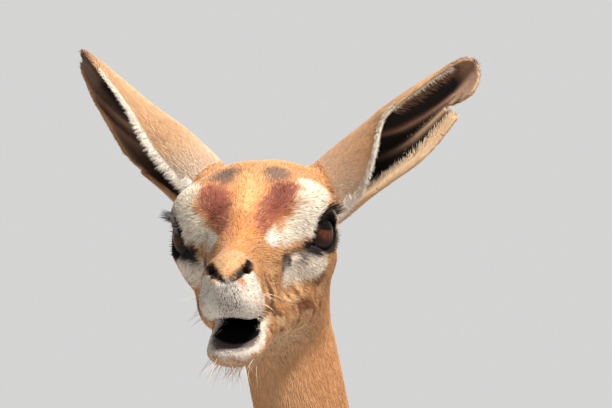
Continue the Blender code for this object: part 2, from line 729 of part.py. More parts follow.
def body_partings():
    """Thin slabs where the body is parted: the neck's root, each leg's top and knee or hock, and the tail."""
    gap = PARTING
    slabs = [
        slab((0.0, -0.345, 0.920), (0.0, -0.58, 0.81), (1, 0, 0), (0.30, 0.30, gap)),
        slab((0.0, 0.3876, 0.8018), (0.0, 0.455, -0.89), (1, 0, 0), (0.05, 0.032, gap)),
        slab((0.0, 0.397, 0.690), (0.0, 0.0, 1.0), (1, 0, 0), (0.04, 0.040, gap)),
    ]
    for sign in (-1.0, 1.0):
        slabs.append(
            slab((sign * 0.0675, -0.215, 0.660), (-sign * 0.753, 0.0, 0.659), (0, 1, 0), (0.19, 0.16, gap))
        )
        slabs.append(
            slab((sign * 0.0675, 0.2325, 0.712), (-sign * 0.785, -0.150, 0.601), (0, 1, 0), (0.27, 0.20, gap))
        )
        slabs.append(slab((sign * 0.064, -0.225, 0.326), (0, 0, 1), (1, 0, 0), (0.07, 0.10, gap)))
        slabs.append(slab((sign * 0.063, 0.340, 0.366), (0, 0, 1), (1, 0, 0), (0.07, 0.13, gap)))
    slabs.append(neck_block(1.0))
    return slabs


def neck_block(side):
    """A block on one side of the cut behind the jaw: 1 for the head's side, -1 for the neck's."""
    thickness = 0.1
    centre = NECK_CUT_AT + NECK_CUT_WAY * side * (thickness - PARTING) / 2
    return slab(centre, NECK_CUT_WAY, (1, 0, 0), (0.2, 0.2, thickness))


def body_name(points):
    """The name of a piece of the body from where its middle lies."""
    x, y, z = (points.min(0) + points.max(0)) / 2
    if z > 0.95:
        return "neck"
    if y > 0.36 and abs(x) < 0.03:
        return "tail" if z > 0.70 else "tail_tuft"
    if abs(x) < 0.03:
        return "torso"
    leg = ("foreleg" if y < 0.0 else "hindleg") + ("_left" if x > 0 else "_right")
    return leg + ("_upper" if z > 0.36 else "_lower")


def make_body():
    """Every piece of the body, the lower legs still without their hooves' sockets and the tail without its locks."""
    rough = solid("Body", *skinned(lower_flesh, (-0.16, -0.60, 0.0), (0.16, 0.44, 1.30), BODY_CELL))
    thin(rough, BODY_TRIANGLES)
    combine(rough, body_partings(), "DIFFERENCE")
    made = {}
    for points, faces in loose_parts(rough.data):
        if abs(volume(points, faces)) < 1e-7:
            continue
        name = body_name(points)
        if name not in made:
            made[name] = solid(name, points, faces)
    bpy.data.objects.remove(rough)
    return made


def hoof(grow):
    """One toe's hoof as points and faces: pointed in front, steep behind, its inner side nearly flat. It stands on
    Z = 0 with its toe towards -Y and its outer side towards +X."""
    around = 14
    levels = (0.0, 0.12, 0.55, 1.0)
    angles = np.arange(around) * 2 * math.pi / around
    along, out = np.cos(angles), np.sin(angles)
    width = HOOF_WIDTH * np.where(out > 0, 0.80, 0.20) * (1.0 + 0.30 * along)
    rings = []
    for level in levels:
        back = 1.0 - 0.10 * level
        front = 1.0 - 0.72 * level
        y = (HOOF_LENGTH / 2 + grow) * along * np.where(along > 0, back, front)
        flare = 1.0 - 0.24 * level + (0.0 if level else -0.04)
        x = (width * flare + grow) * out
        top = HOOF_HEIGHT * (0.78 - 0.22 * along) + grow
        rings.append(np.stack([x, y, level * (top + grow) - grow], 1))
    crown = rings[-1].mean(0) + (0.0, 0.0, 0.002)
    points = np.concatenate(rings + [[rings[0].mean(0)], [crown]])
    faces = []
    for i in range(len(levels) - 1):
        for j in range(around):
            k = (j + 1) % around
            a, b, c, d = i * around + j, i * around + k, (i + 1) * around + k, (i + 1) * around + j
            faces += [(a, c, b), (a, d, c)]
    last, sole, top = (len(levels) - 1) * around, len(points) - 2, len(points) - 1
    for j in range(around):
        k = (j + 1) % around
        faces += [(sole, j, k), (top, last + k, last + j)]
    return points, faces


def fit_hooves(leg, lower):
    """Two hooves under a leg, and their sockets cut in its foot."""
    rows = stations_of(leg)
    foot = np.array(rows[-1][:3])
    limb_name = ("foreleg_" if leg.startswith("front") else "hindleg_") + leg.split("_")[1]
    sockets = []
    for side, label in ((1.0, "outer"), (-1.0, "inner")):
        sign = side if leg.endswith("left") else -side
        place = np.array((foot[0] + sign * (HOOF_WIDTH * 0.20 + 0.0020), foot[1] - 0.0080, 0.0))
        splay = Matrix.Rotation(math.radians(2.0) * sign, 3, "Z")
        for grow, kept in ((PARTING, False), (0.0, True)):
            points, faces = hoof(grow)
            points = points * (sign, 1.0, 1.0)
            if sign < 0:
                faces = [face[::-1] for face in faces]
            points = points @ np.array(splay).T + place
            if kept:
                finished("hoof_" + limb_name.replace("leg_", "_") + "_" + label, points, faces, "Dark horn")
            else:
                sockets.append(solid("Socket", points, faces))
    combine(lower, sockets, "DIFFERENCE")
    largest(lower, "Fawn coat")


def lock(root_at, way, length, width, turn):
    """A flat tapered lock of hair that sets out along a way and bends down: points and faces."""
    steps = 4
    across = Vector((math.cos(turn), math.sin(turn), 0.0))
    place, heading = Vector(root_at), Vector(way).normalized()
    points, around = [], 4
    for i in range(steps):
        share = i / steps
        flat = heading.cross(across).normalized()
        half = width / 2 * (1.0 - share) ** 0.6 * (0.75 + 0.9 * share - 0.6 * share**2)
        thick = max(0.0011, 0.0026 * (1.0 - share))
        points += [place + across * half, place + flat * thick, place - across * half, place - flat * thick]
        place = place + heading * (length / steps)
        heading = (heading + Vector((0.0, 0.0, -0.45))).normalized()
    points.append(place)
    faces = [(0, 1, 2), (0, 2, 3)]
    for i in range(steps - 1):
        for j in range(around):
            k = (j + 1) % around
            a, b, c, d = i * around + j, i * around + k, (i + 1) * around + k, (i + 1) * around + j
            faces += [(a, c, b), (a, d, c)]
    last = (steps - 1) * around
    for j in range(around):
        faces.append((last + j, len(points) - 1, last + (j + 1) % around))
    return [tuple(point) for point in points], faces


def grow_tuft(core):
    """The tail's tuft: flat locks that leave the tail's end all round and hang past its tip."""
    chance = np.random.default_rng(7)
    top, tip = 0.676, 0.628
    locks = []
    for i in range(TUFT_LOCKS):
        share = i / (TUFT_LOCKS - 1)
        turn = i * math.radians(137.5)
        height = top + (tip - top) * share
        out = Vector((math.cos(turn), math.sin(turn), 0.0))
        root_at = Vector((0.003, 0.396, height)) + out * 0.0012
        way = out * (0.42 - 0.18 * share) + Vector((0.0, 0.0, -1.0))
        length = TUFT_LENGTH * chance.uniform(0.62, 0.95)
        points, faces = lock(root_at, way, length, 0.0125, turn + math.pi / 2)
        locks.append(solid("Lock", points, faces))
    combine(core, locks, "UNION")
    largest(core, "Black hair")


# The head's pieces


def ball(centre, radius):
    """An eyeball in the body's frame, its poles along the gaze: points and faces."""
    around, rings = 20, 12
    made = bmesh.new()
    bmesh.ops.create_uvsphere(made, u_segments=around, v_segments=rings, radius=radius)
    bmesh.ops.triangulate(made, faces=made.faces)
    sign = 1.0 if centre[0] > 0 else -1.0
    gaze = Vector((GAZE.x * sign, GAZE.y, GAZE.z))
    turn = gaze.to_track_quat("Z", "Y").to_matrix()
    points = [tuple(HEAD_TO_BODY @ (Vector(centre) + turn @ vertex.co)) for vertex in made.verts]
    faces = [[vertex.index for vertex in face.verts] for face in made.faces]
    made.free()
    return points, faces


def swollen(made, amount):
    """A copy of an object with its surface moved out."""
    bm = bmesh.new()
    bm.from_mesh(made.data)
    bm.normal_update()
    moved = [vertex.co + vertex.normal * amount * vertex.calc_shell_factor() for vertex in bm.verts]
    faces = [[vertex.index for vertex in face.verts] for face in bm.faces]
    bm.free()
    return solid("Swollen", [tuple(point) for point in moved], faces)


def jaw_parting():
    """Slabs through the open mouth and from its corner down behind the chin, which free the lower jaw."""
    corner = Vector((0.0, -0.0780, -0.0480))
    lips = Vector((0.0, -0.1300, -0.0570))
    throat = Vector((0.0, 0.0150, -0.0900))
    turn = HEAD_TO_BODY.to_3x3()
    slabs = []
    for far in (lips, throat):
        run = far - corner
        centre = HEAD_TO_BODY @ (corner + run * 0.5)
        across = turn @ Vector((1.0, 0.0, 0.0))
        way = across.cross(turn @ run)
        slabs.append(slab(centre, way, turn @ run, (run.length + PARTING, 0.12, PARTING)))
    return slabs


def make_head():
    """Head and jaw with the sockets of the eyes, then the eyes and the ears."""
    low = np.array(HEAD_AT) - (0.085, 0.135, 0.125)
    high = np.array(HEAD_AT) + (0.085, 0.155, 0.070)
    rough = solid("head", *skinned(upper_flesh, low, high, HEAD_CELL))
    thin(rough, HEAD_TRIANGLES)
    ears = {}
    for side in EARS:
        points, faces = ear_sheet(side, rows=13, columns=10)
        points = points @ np.array(HEAD_TO_BODY.to_3x3()).T + np.array(HEAD_AT)
        ears[side] = solid("ear_" + side, points, faces)
        combine(ears[side], [swollen(rough, PARTING)], "DIFFERENCE")
        largest(ears[side], "Ear skin")
    tools = jaw_parting()
    tools.append(neck_block(-1.0))
    for side, sign in (("left", 1.0), ("right", -1.0)):
        centre = EYE_AT * (sign, 1.0, 1.0)
        finished("eye_" + side, *ball(centre, EYE_RADIUS), "Wet eye")
        tools.append(solid("Socket", *ball(centre, EYE_RADIUS + PARTING)))
    combine(rough, tools, "DIFFERENCE")
    skull_part, jaw_part = loose_parts(rough.data)[:2]
    bpy.data.objects.remove(rough)
    finished("head", *skull_part, "Fawn coat")
    finished("jaw", *jaw_part, "Pale coat")


# The whole animal

for old in list(bpy.data.objects):
    bpy.data.objects.remove(old)
root = bpy.data.objects.new("gerenuk", None)
bpy.context.scene.collection.objects.link(root)

pieces = make_body()
for leg_name in STRIDES:
    part_name = ("foreleg_" if leg_name.startswith("front") else "hindleg_") + leg_name.split("_")[1]
    fit_hooves(leg_name, pieces.pop(part_name + "_lower"))
grow_tuft(pieces.pop("tail_tuft"))
for piece in pieces.values():
    largest(piece, "Fawn coat")
make_head()

# The root is set so that the middle of the animal's ground outline is the origin
bpy.context.view_layer.update()
corners = np.array([corner.co for made in bpy.data.objects if made.type == "MESH" for corner in made.data.vertices])
middle = (corners.min(0) + corners.max(0)) / 2
root.location = (-middle[0], -middle[1], -corners[:, 2].min())
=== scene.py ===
import math

import bmesh
import bpy
import numpy as np
from mathutils import Matrix, Vector


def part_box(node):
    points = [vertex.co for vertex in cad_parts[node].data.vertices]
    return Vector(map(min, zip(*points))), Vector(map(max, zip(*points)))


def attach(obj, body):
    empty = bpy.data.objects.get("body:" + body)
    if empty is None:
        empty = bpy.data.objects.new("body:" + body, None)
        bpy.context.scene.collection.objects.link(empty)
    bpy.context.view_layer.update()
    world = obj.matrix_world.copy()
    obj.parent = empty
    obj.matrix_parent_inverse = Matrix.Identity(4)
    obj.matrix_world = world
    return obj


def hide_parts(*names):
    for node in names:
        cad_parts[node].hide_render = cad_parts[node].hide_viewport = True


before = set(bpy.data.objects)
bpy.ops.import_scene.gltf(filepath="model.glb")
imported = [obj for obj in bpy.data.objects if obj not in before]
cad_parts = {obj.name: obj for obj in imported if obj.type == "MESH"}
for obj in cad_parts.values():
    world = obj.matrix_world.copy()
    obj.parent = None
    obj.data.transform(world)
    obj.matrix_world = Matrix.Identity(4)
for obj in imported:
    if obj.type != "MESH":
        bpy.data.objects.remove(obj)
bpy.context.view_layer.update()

# The head's place and pose
# The head is carried by the neck a little turned, dipped and tilted. Everything on it is measured in its own frame,
# which lies midway between the eyes with the nose along -Y. The eyeballs' own places tell where that is.
eye_centres = [sum(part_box(name), Vector()) / 2 for name in ("eye_left", "eye_right")]
eye_radius = (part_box("eye_left")[1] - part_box("eye_left")[0]).z / 2
eye_at = Vector((0.0328, 0.0, -0.0012))
head_turn = Matrix.Rotation(math.radians(13.5), 4, "Z")
head_turn = head_turn @ Matrix.Rotation(math.radians(3.0), 4, "X") @ Matrix.Rotation(math.radians(-2.0), 4, "Y")
head_place = (eye_centres[0] + eye_centres[1]) / 2 - head_turn @ Vector((0.0, eye_at.y, eye_at.z))
head_to_frame = Matrix.Translation(head_place) @ head_turn
# The body's forms are measured from a point under the withers, on the ground
body_origin = np.array(head_place) - (0.0, -0.600, 1.315)


# The stand for looking at it
# A large matt pale floor, a broad soft lamp high in front on the animal's left, a weaker one behind and an even
# pale room light. The camera looks from the animal's front left, a little from below its eyes, through a long lens.
def studio_paint(name, colour, roughness):
    made = bpy.data.materials.new(name)
    made.use_nodes = True
    shader = made.node_tree.nodes["Principled BSDF"]
    shader.inputs["Base Color"].default_value = (*colour, 1.0)
    shader.inputs["Roughness"].default_value = roughness
    return made


def way_back(azimuth, elevation):
    """The way from what is looked at to who looks at it."""
    a, e = math.radians(azimuth), math.radians(elevation)
    return Vector((math.sin(a) * math.cos(e), -math.cos(a) * math.cos(e), math.sin(e)))


def lamp(name, azimuth, elevation, distance, size, power, colour):
    light = bpy.data.lights.new(name, "AREA")
    light.shape = "DISK"
    light.size = size
    light.energy = power
    light.color = colour
    made = bpy.data.objects.new(name, light)
    bpy.context.scene.collection.objects.link(made)
    back = way_back(azimuth, elevation)
    made.location = head_place + back * distance
    made.rotation_mode = "QUATERNION"
    made.rotation_quaternion = back.to_track_quat("Z", "Y")


floor_mesh = bpy.data.meshes.new("floor")
floor_half = 14.0
floor_corners = [(x * floor_half, y * floor_half, 0.0) for x, y in ((-1, -1), (1, -1), (1, 1), (-1, 1))]
floor_mesh.from_pydata(floor_corners, [], [(0, 1, 2, 3)])
floor_mesh.materials.append(studio_paint("floor paint", (0.78, 0.765, 0.745), 0.85))
floor = bpy.data.objects.new("floor", floor_mesh)
bpy.context.scene.collection.objects.link(floor)

lamp("key lamp", 64.0, 52.0, 2.6, 0.45, 132.0, (1.0, 0.955, 0.89))
lamp("fill lamp", -40.0, 10.0, 3.2, 1.8, 5.0, (0.96, 0.97, 1.0))
lamp("rim lamp", 200.0, 40.0, 3.0, 0.9, 40.0, (1.0, 0.97, 0.93))
world = bpy.data.worlds.new("room light")
world.use_nodes = True
room = world.node_tree.nodes["Background"]
room.inputs["Color"].default_value = (0.88, 0.88, 0.88, 1.0)
room.inputs["Strength"].default_value = 0.33
# The backdrop looks paler than the light it gives, so that the shaded side keeps its depth
backdrop = world.node_tree.nodes.new("ShaderNodeBackground")
backdrop.inputs["Color"].default_value = (0.66, 0.66, 0.655, 1.0)
seen = world.node_tree.nodes.new("ShaderNodeLightPath")
either = world.node_tree.nodes.new("ShaderNodeMixShader")
world.node_tree.links.new(seen.outputs["Is Camera Ray"], either.inputs[0])
world.node_tree.links.new(room.outputs[0], either.inputs[1])
world.node_tree.links.new(backdrop.outputs[0], either.inputs[2])
world.node_tree.links.new(either.outputs[0], world.node_tree.nodes["World Output"].inputs["Surface"])
bpy.context.scene.world = world
bpy.context.scene.view_settings.view_transform = "Standard"

# The photo's frame is 612 by 408 pixels, and the point between the eyes falls on this pixel of it
frame_width, frame_height = 612, 408
eyes_pixel = (253.5, 236.0)
pixels_per_metre = 1667.0
camera_distance = 4.0
camera_back = way_back(21.0, -3.0)
camera_right = Vector((0.0, 0.0, 1.0)).cross(camera_back).normalized()
camera_up = camera_back.cross(camera_right)
camera_data = bpy.data.cameras.new("camera")
camera_data.sensor_width = 36.0
camera_data.lens = pixels_per_metre * camera_distance * camera_data.sensor_width / frame_width
camera = bpy.data.objects.new("camera", camera_data)
bpy.context.scene.collection.objects.link(camera)
camera.location = (
    head_place
    + camera_back * camera_distance
    + camera_right * ((frame_width / 2 - eyes_pixel[0]) / pixels_per_metre)
    + camera_up * ((eyes_pixel[1] - frame_height / 2) / pixels_per_metre)
)
camera.rotation_mode = "QUATERNION"
camera.rotation_quaternion = camera_back.to_track_quat("Z", "Y")
bpy.context.scene.camera = camera


# Trunk, neck, legs and tail
# The flesh under the coat: long oval forms along smooth courses, run into one another as muscle does. Each form is a
# function of points, negative inside. It stands on its four legs, the near foreleg forward.
def egg(points, centre, radii):
    offset = points - np.array(centre)
    share = np.linalg.norm(offset / radii, axis=1)
    slope = np.linalg.norm(offset / np.square(radii), axis=1)
    return share * (share - 1.0) / np.maximum(slope, 1e-6)


def rod(points, start, end, start_radius, end_radius):
    start = np.array(start)
    run = np.array(end) - start
    along = np.clip((points - start) @ run / (run @ run), 0.0, 1.0)
    away = np.linalg.norm(points - start - along[:, None] * run, axis=1)
    return away - (start_radius + (end_radius - start_radius) * along)


def course(stations, steps=5):
    """Rows on a smooth course through the stations."""
    rows = np.array(stations, float)
    before = np.vstack([2 * rows[0] - rows[1], rows, 2 * rows[-1] - rows[-2]])
    made = []
    for i in range(len(rows) - 1):
        a, b, c, d = before[i : i + 4]
        for t in np.arange(steps) / steps:
            made.append(
                0.5 * (2 * b + (c - a) * t + (2 * a - 5 * b + 4 * c - d) * t**2 + (3 * b - a - 3 * c + d) * t**3)
            )
    return np.array(made + [rows[-1]])


def limb(points, stations):
    """A long form of oval section along a course. A station is x, y, z, half width, half depth, and how much wider
    the section grows towards its underside or front."""
    line = course(stations)
    start, run, growth = line[:-1, :3], np.diff(line[:, :3], axis=0), np.diff(line[:, 3:], axis=0)
    run_square = (run**2).sum(1)
    way = run / np.sqrt(run_square)[:, None]
    across = np.array([1.0, 0.0, 0.0]) - way[:, :1] * way
    across /= np.linalg.norm(across, axis=1)[:, None]
    depth = np.cross(way, across)
    reach = line[:, 3:5].max() + 0.06
    near = ((points > line[:, :3].min(0) - reach) & (points < line[:, :3].max(0) + reach)).all(1)
    result = np.full(len(points), 0.2)
    for some in np.array_split(np.flatnonzero(near), max(1, near.sum() // 20000)):
        here = points[some]
        forward = (here @ run.T - (start * run).sum(1)) / run_square
        along = np.clip(forward, 0.0, 1.0)
        square = -2.0 * here @ start.T + (start**2).sum(1) + (along * along - 2.0 * forward * along) * run_square
        nearest = square.argmin(1)
        share = np.take_along_axis(along, nearest[:, None], 1)
        offset = here - start[nearest] - share * run[nearest]
        width, height, taper = (line[nearest, 3:] + share * growth[nearest]).T
        u, v, w = ((offset * axis[nearest]).sum(1) for axis in (across, depth, way))
        inner = ((share[:, 0] > 0.0) | (nearest > 0)) & ((share[:, 0] < 1.0) | (nearest < len(run) - 1))
        w = np.where(inner, 0.0, w)
        width = width * (1.0 + taper * np.clip(v / height, -1.0, 1.0))
        end = np.minimum(width, height)
        k0 = np.sqrt((u / width) ** 2 + (v / height) ** 2 + (w / end) ** 2)
        k1 = np.sqrt((u / width**2) ** 2 + (v / height**2) ** 2 + (w / end**2) ** 2)
        result[some] = k0 * (k0 - 1.0) / np.maximum(k1, 1e-6)
    return result


def join(first, second, softness):
    """The union of two forms, rounded where they meet."""
    h = np.clip(0.5 + 0.5 * (first - second) / softness, 0.0, 1.0)
    return second * h + first * (1.0 - h) - softness * h * (1.0 - h)


def carve(form, tool, softness):
    """A form with a tool's form cut out of it, its edges rounded."""
    return -join(-form, tool, softness)


withers_height = 0.925
chest_half_depth = 0.150
chest_half_width = 0.103


def trunk(points):
    middle = withers_height - chest_half_depth
    rows = (
        (-0.305, middle + 0.000, 0.048, 0.072, 0.0),
        (-0.265, middle - 0.002, 0.070, 0.112, -0.05),
        (-0.205, middle, 0.88 * chest_half_width, chest_half_depth, -0.10),
        (-0.080, middle - 0.006, chest_half_width, 0.95 * chest_half_depth, -0.02),
        (0.050, middle + 0.002, chest_half_width, 0.875 * chest_half_depth, 0.02),
        (0.160, middle + 0.017, 0.94 * chest_half_width, 0.81 * chest_half_depth, -0.05),
        (0.255, middle + 0.032, 0.86 * chest_half_width, 0.76 * chest_half_depth, -0.12),
        (0.318, middle + 0.042, 0.052, 0.068, -0.15),
    )
    return limb(points, [(0.0, *row) for row in rows])


neck_rows = (
    (0.0, -0.235, 0.800, 0.056, 0.090, 0.0),
    (0.0, -0.320, 0.885, 0.046, 0.072, 0.0),
    (0.0, -0.392, 0.985, 0.038, 0.055, 0.0),
    (0.000, -0.452, 1.090, 0.0330, 0.0450, 0.0),
    (-0.002, -0.502, 1.190, 0.0285, 0.0395, 0.0),
    (-0.006, -0.532, 1.260, 0.0270, 0.0370, 0.0),
    (-0.010, -0.558, 1.296, 0.0240, 0.0270, 0.0),
)
foreleg_rows = (
    (0.058, -0.215, 0.800, 0.030, 0.060, 0.0),
    (0.070, -0.235, 0.715, 0.032, 0.058, 0.0),
    (0.072, -0.215, 0.650, 0.029, 0.048, 0.0),
    (0.069, -0.205, 0.590, 0.0235, 0.0350, 0.0),
    (0.067, -0.212, 0.500, 0.0185, 0.0240, 0.0),
    (0.065, -0.219, 0.410, 0.0150, 0.0175, 0.0),
    (0.064, -0.222, 0.358, 0.0180, 0.0200, 0.0),
    (0.064, -0.218, 0.318, 0.0140, 0.0155, 0.0),
    (0.063, -0.217, 0.235, 0.0108, 0.0128, 0.0),
    (0.063, -0.217, 0.155, 0.0110, 0.0130, 0.0),
    (0.063, -0.218, 0.112, 0.0148, 0.0165, 0.0),
    (0.063, -0.236, 0.073, 0.0128, 0.0138, 0.0),
    (0.063, -0.253, 0.042, 0.0158, 0.0165, 0.0),
)
hindleg_rows = (
    (0.050, 0.265, 0.835, 0.036, 0.070, 0.0),
    (0.066, 0.240, 0.755, 0.040, 0.092, 0.0),
    (0.074, 0.200, 0.675, 0.035, 0.074, 0.0),
    (0.074, 0.205, 0.600, 0.0275, 0.0520, 0.0),
    (0.070, 0.255, 0.520, 0.0200, 0.0330, 0.0),
    (0.066, 0.315, 0.445, 0.0155, 0.0235, 0.0),
    (0.064, 0.345, 0.400, 0.0165, 0.0240, 0.0),
    (0.063, 0.343, 0.350, 0.0135, 0.0180, 0.0),
    (0.062, 0.326, 0.255, 0.0115, 0.0138, 0.0),
    (0.062, 0.310, 0.165, 0.0113, 0.0135, 0.0),
    (0.062, 0.301, 0.118, 0.0150, 0.0168, 0.0),
    (0.062, 0.281, 0.077, 0.0130, 0.0140, 0.0),
    (0.062, 0.263, 0.043, 0.0158, 0.0168, 0.0),
)
tail_rows = (
    (0.0, 0.330, 0.862, 0.0150, 0.0200, 0.0),
    (0.0, 0.366, 0.838, 0.0115, 0.0135, 0.0),
    (0.0, 0.388, 0.795, 0.0085, 0.0090, 0.0),
    (0.0, 0.396, 0.740, 0.0070, 0.0074, 0.0),
    (0.002, 0.397, 0.680, 0.0062, 0.0064, 0.0),
    (0.004, 0.395, 0.625, 0.0045, 0.0045, 0.0),
)
# How far each leg is set forward at the ground
strides = {"front_left": 0.012, "front_right": -0.030, "hind_left": -0.028, "hind_right": 0.022}


def stations_of(leg):
    root_height = 0.72
    swung = []
    for x, y, z, width, depth, taper in foreleg_rows if leg.startswith("front") else hindleg_rows:
        swing = strides[leg] * min(1.0, max(0.0, (root_height - z) / root_height))
        swung.append((x if leg.endswith("left") else -x, y + swing, z, width, depth, taper))
    return swung


def leg_form(points, leg):
    """One leg with its joints, the heel's tendon behind a hock, the heel's bulb and two dewclaws."""
    rows = stations_of(leg)
    form = limb(points, rows)
    if leg.startswith("front"):
        elbow = np.array(rows[3][:3]) + (0.0, 0.022, 0.030)
        form = join(form, egg(points, elbow, (0.014, 0.020, 0.028)), 0.020)
    else:
        heel = np.array(rows[6][:3]) + (0.0, 0.021, 0.022)
        calf = np.array(rows[4][:3]) + (0.0, 0.004, 0.035)
        form = join(form, rod(points, calf, heel, 0.020, 0.0095), 0.018)
        stifle = np.array(rows[2][:3]) + (0.0, -0.050, -0.020)
        form = join(form, egg(points, stifle, (0.024, 0.026, 0.034)), 0.030)
    heel_bulb = np.array(rows[12][:3]) + (0.0, 0.012, -0.0120)
    form = join(form, egg(points, heel_bulb, (0.0150, 0.0125, 0.0150)), 0.010)
    for side in (-1.0, 1.0):
        claw = np.array(rows[10][:3]) + (side * 0.0085, 0.0135, -0.0110)
        form = join(form, egg(points, claw, (0.0052, 0.0062, 0.0082)), 0.006)
    return form


def body(points):
    form = join(trunk(points), limb(points, neck_rows), 0.080)
    form = join(form, rod(points, (0.0, -0.235, 0.888), (0.0, 0.060, 0.868), 0.030, 0.024), 0.045)
    mirrored = points.copy()
    mirrored[:, 0] = np.abs(points[:, 0])
    form = join(form, egg(mirrored, (0.054, -0.240, 0.770), (0.036, 0.062, 0.105)), 0.055)
    form = join(form, egg(mirrored, (0.050, 0.245, 0.795), (0.045, 0.092, 0.088)), 0.050)
    low = points[:, 2] < 0.95
    for leg in strides:
        form[low] = join(form[low], leg_form(points[low], leg), 0.022)
    return join(form, limb(points, tail_rows), 0.016)


# The head
# A long narrow muzzle runs into a wide flat-topped skull between large eyes set at its sides. The lower jaw hangs a
# little open. Lids wrap the eyeballs, the nostrils are slits that climb outward, and a scent gland opens by each eye.
gaze = Vector((0.86, -0.49, 0.12)).normalized()
lid_thickness = 0.0024
opening_half_length = 0.0147
opening_half_height = 0.0104
corner_droop = math.radians(24.0)
opening_forward = gaze.cross(Vector((0.0, 0.0, 1.0))).normalized()
opening_upward = opening_forward.cross(gaze)
opening_long = opening_forward * math.cos(corner_droop) - opening_upward * math.sin(corner_droop)
opening_high = opening_upward * math.cos(corner_droop) + opening_forward * math.sin(corner_droop)


def skull(points):
    rows = (
        (-0.1130, -0.0175, -0.0450, 0.0125, 0.10),
        (-0.1040, -0.0125, -0.0485, 0.0160, 0.08),
        (-0.0860, -0.0065, -0.0495, 0.0168, 0.08),
        (-0.0620, 0.0020, -0.0490, 0.0192, 0.06),
        (-0.0380, 0.0130, -0.0470, 0.0250, 0.04),
        (-0.0120, 0.0265, -0.0450, 0.0325, -0.02),
        (0.0180, 0.0385, -0.0440, 0.0370, -0.06),
        (0.0500, 0.0422, -0.0400, 0.0360, -0.06),
        (0.0700, 0.0335, -0.0340, 0.0300, 0.0),
        (0.0810, 0.0240, -0.0240, 0.0225, 0.0),
    )
    return limb(points, [(0.0, y, (top + low) / 2, w, (top - low) / 2, taper) for y, top, low, w, taper in rows])


def lower_jaw(points):
    rows = (
        (-0.1050, -0.0610, -0.0755, 0.0140, -0.05),
        (-0.0970, -0.0585, -0.0770, 0.0170, -0.08),
        (-0.0830, -0.0510, -0.0760, 0.0178, -0.10),
        (-0.0620, -0.0450, -0.0725, 0.0186, -0.12),
        (-0.0350, -0.0400, -0.0680, 0.0205, -0.12),
        (-0.0050, -0.0350, -0.0645, 0.0265, -0.15),
        (0.0250, -0.0260, -0.0610, 0.0320, -0.10),
        (0.0500, -0.0160, -0.0510, 0.0290, 0.0),
    )
    return limb(points, [(0.0, y, (top + low) / 2, w, (top - low) / 2, taper) for y, top, low, w, taper in rows])


def mouth_hollow(points):
    rows = (
        (0.0, -0.1260, -0.0575, 0.0150, 0.0065, 0.0),
        (0.0, -0.1050, -0.0565, 0.0148, 0.0085, 0.0),
        (0.0, -0.0880, -0.0535, 0.0128, 0.0080, 0.0),
        (0.0, -0.0660, -0.0480, 0.0085, 0.0050, 0.0),
        (0.0, -0.0400, -0.0430, 0.0060, 0.0035, 0.0),
    )
    return limb(points, rows)


def nostril(points):
    form = rod(points, (0.0020, -0.1250, -0.0262), (0.0080, -0.1180, -0.0205), 0.0012, 0.0020)
    form = np.minimum(form, rod(points, (0.0080, -0.1180, -0.0205), (0.0125, -0.1078, -0.0170), 0.0020, 0.0026))
    return np.minimum(form, rod(points, (0.0110, -0.1120, -0.0195), (0.0080, -0.1020, -0.0220), 0.0024, 0.0018))


def opening_places(points):
    """Places across an eye's opening, which flares away from the ball: along it, up it, and out along the gaze."""
    offset = points - np.array(eye_at)
    along, up, out = (offset @ np.array(axis) for axis in (opening_long, opening_high, gaze))
    flare = 1.0 + np.clip(20.0 * (np.linalg.norm(offset, axis=1) - eye_radius), 0.0, 0.05)
    return along / flare, up / flare, out


def lid_arch(along):
    """The height of the lids' arch along an eye's opening, 1 in the middle and 0 at its corners."""
    return 1.0 - np.abs(along / opening_half_length) ** 2.6


def eye_opening(points):
    u, v, w = opening_places(points)
    gap = np.abs(v) - opening_half_height * np.clip(lid_arch(u), -1.5, 1.0)
    slope = np.sqrt(1.0 + (2.0 * opening_half_height * u / opening_half_length**2) ** 2)
    within_ball = eye_radius - 0.0015 - np.linalg.norm(points - np.array(eye_at), axis=1)
    return np.maximum(np.maximum(gap / slope, 0.003 - w), within_ball)


def head(points):
    """The head without its ears, from points in its own frame."""
    side = points.copy()
    side[:, 0] = np.abs(points[:, 0])
    form = skull(side)
    form = join(form, egg(side, (0.0, -0.0985, -0.0240), (0.0158, 0.0190, 0.0120)), 0.010)
    form = join(form, rod(side, (0.0092, -0.1075, -0.0395), (0.0115, -0.0700, -0.0370), 0.0092, 0.0085), 0.008)
    form = join(form, egg(side, (0.0120, 0.0400, 0.0280), (0.0240, 0.0360, 0.0135)), 0.020)
    form = join(form, egg(side, (0.0325, 0.0030, 0.0018), (0.0140, 0.0215, 0.0215)), 0.018)
    form = join(form, egg(side, (0.0300, 0.0030, 0.0180), (0.0130, 0.0220, 0.0105)), 0.022)
    form = join(form, rod(side, (0.0310, -0.0080, -0.0170), (0.0335, 0.0400, -0.0140), 0.0085, 0.0110), 0.016)
    form = join(form, egg(side, (0.0220, 0.0260, -0.0330), (0.0160, 0.0360, 0.0270)), 0.016)
    form = join(form, rod(side, (0.0232, 0.0625, 0.0155), (0.0347, 0.0635, 0.0264), 0.0150, 0.0095), 0.018)
    form = join(form, lower_jaw(side), 0.006)
    form = join(form, rod(side, (0.0115, -0.0560, -0.0440), (0.0210, -0.0060, -0.0420), 0.0070, 0.0125), 0.012)
    form = join(form, rod(side, (0.0, 0.030, -0.040), (0.0, 0.075, -0.020), 0.022, 0.026), 0.020)
    form = carve(form, mouth_hollow(side), 0.003)
    form = carve(form, nostril(side), 0.0020)
    form = carve(form, rod(side, (0.0375, -0.0190, -0.0075), (0.0290, -0.0380, -0.0150), 0.0012, 0.0022), 0.005)
    lids = np.linalg.norm(side - np.array(eye_at), axis=1) - (eye_radius + lid_thickness)
    form = join(form, lids, 0.006)
    return carve(form, eye_opening(side), 0.0010)


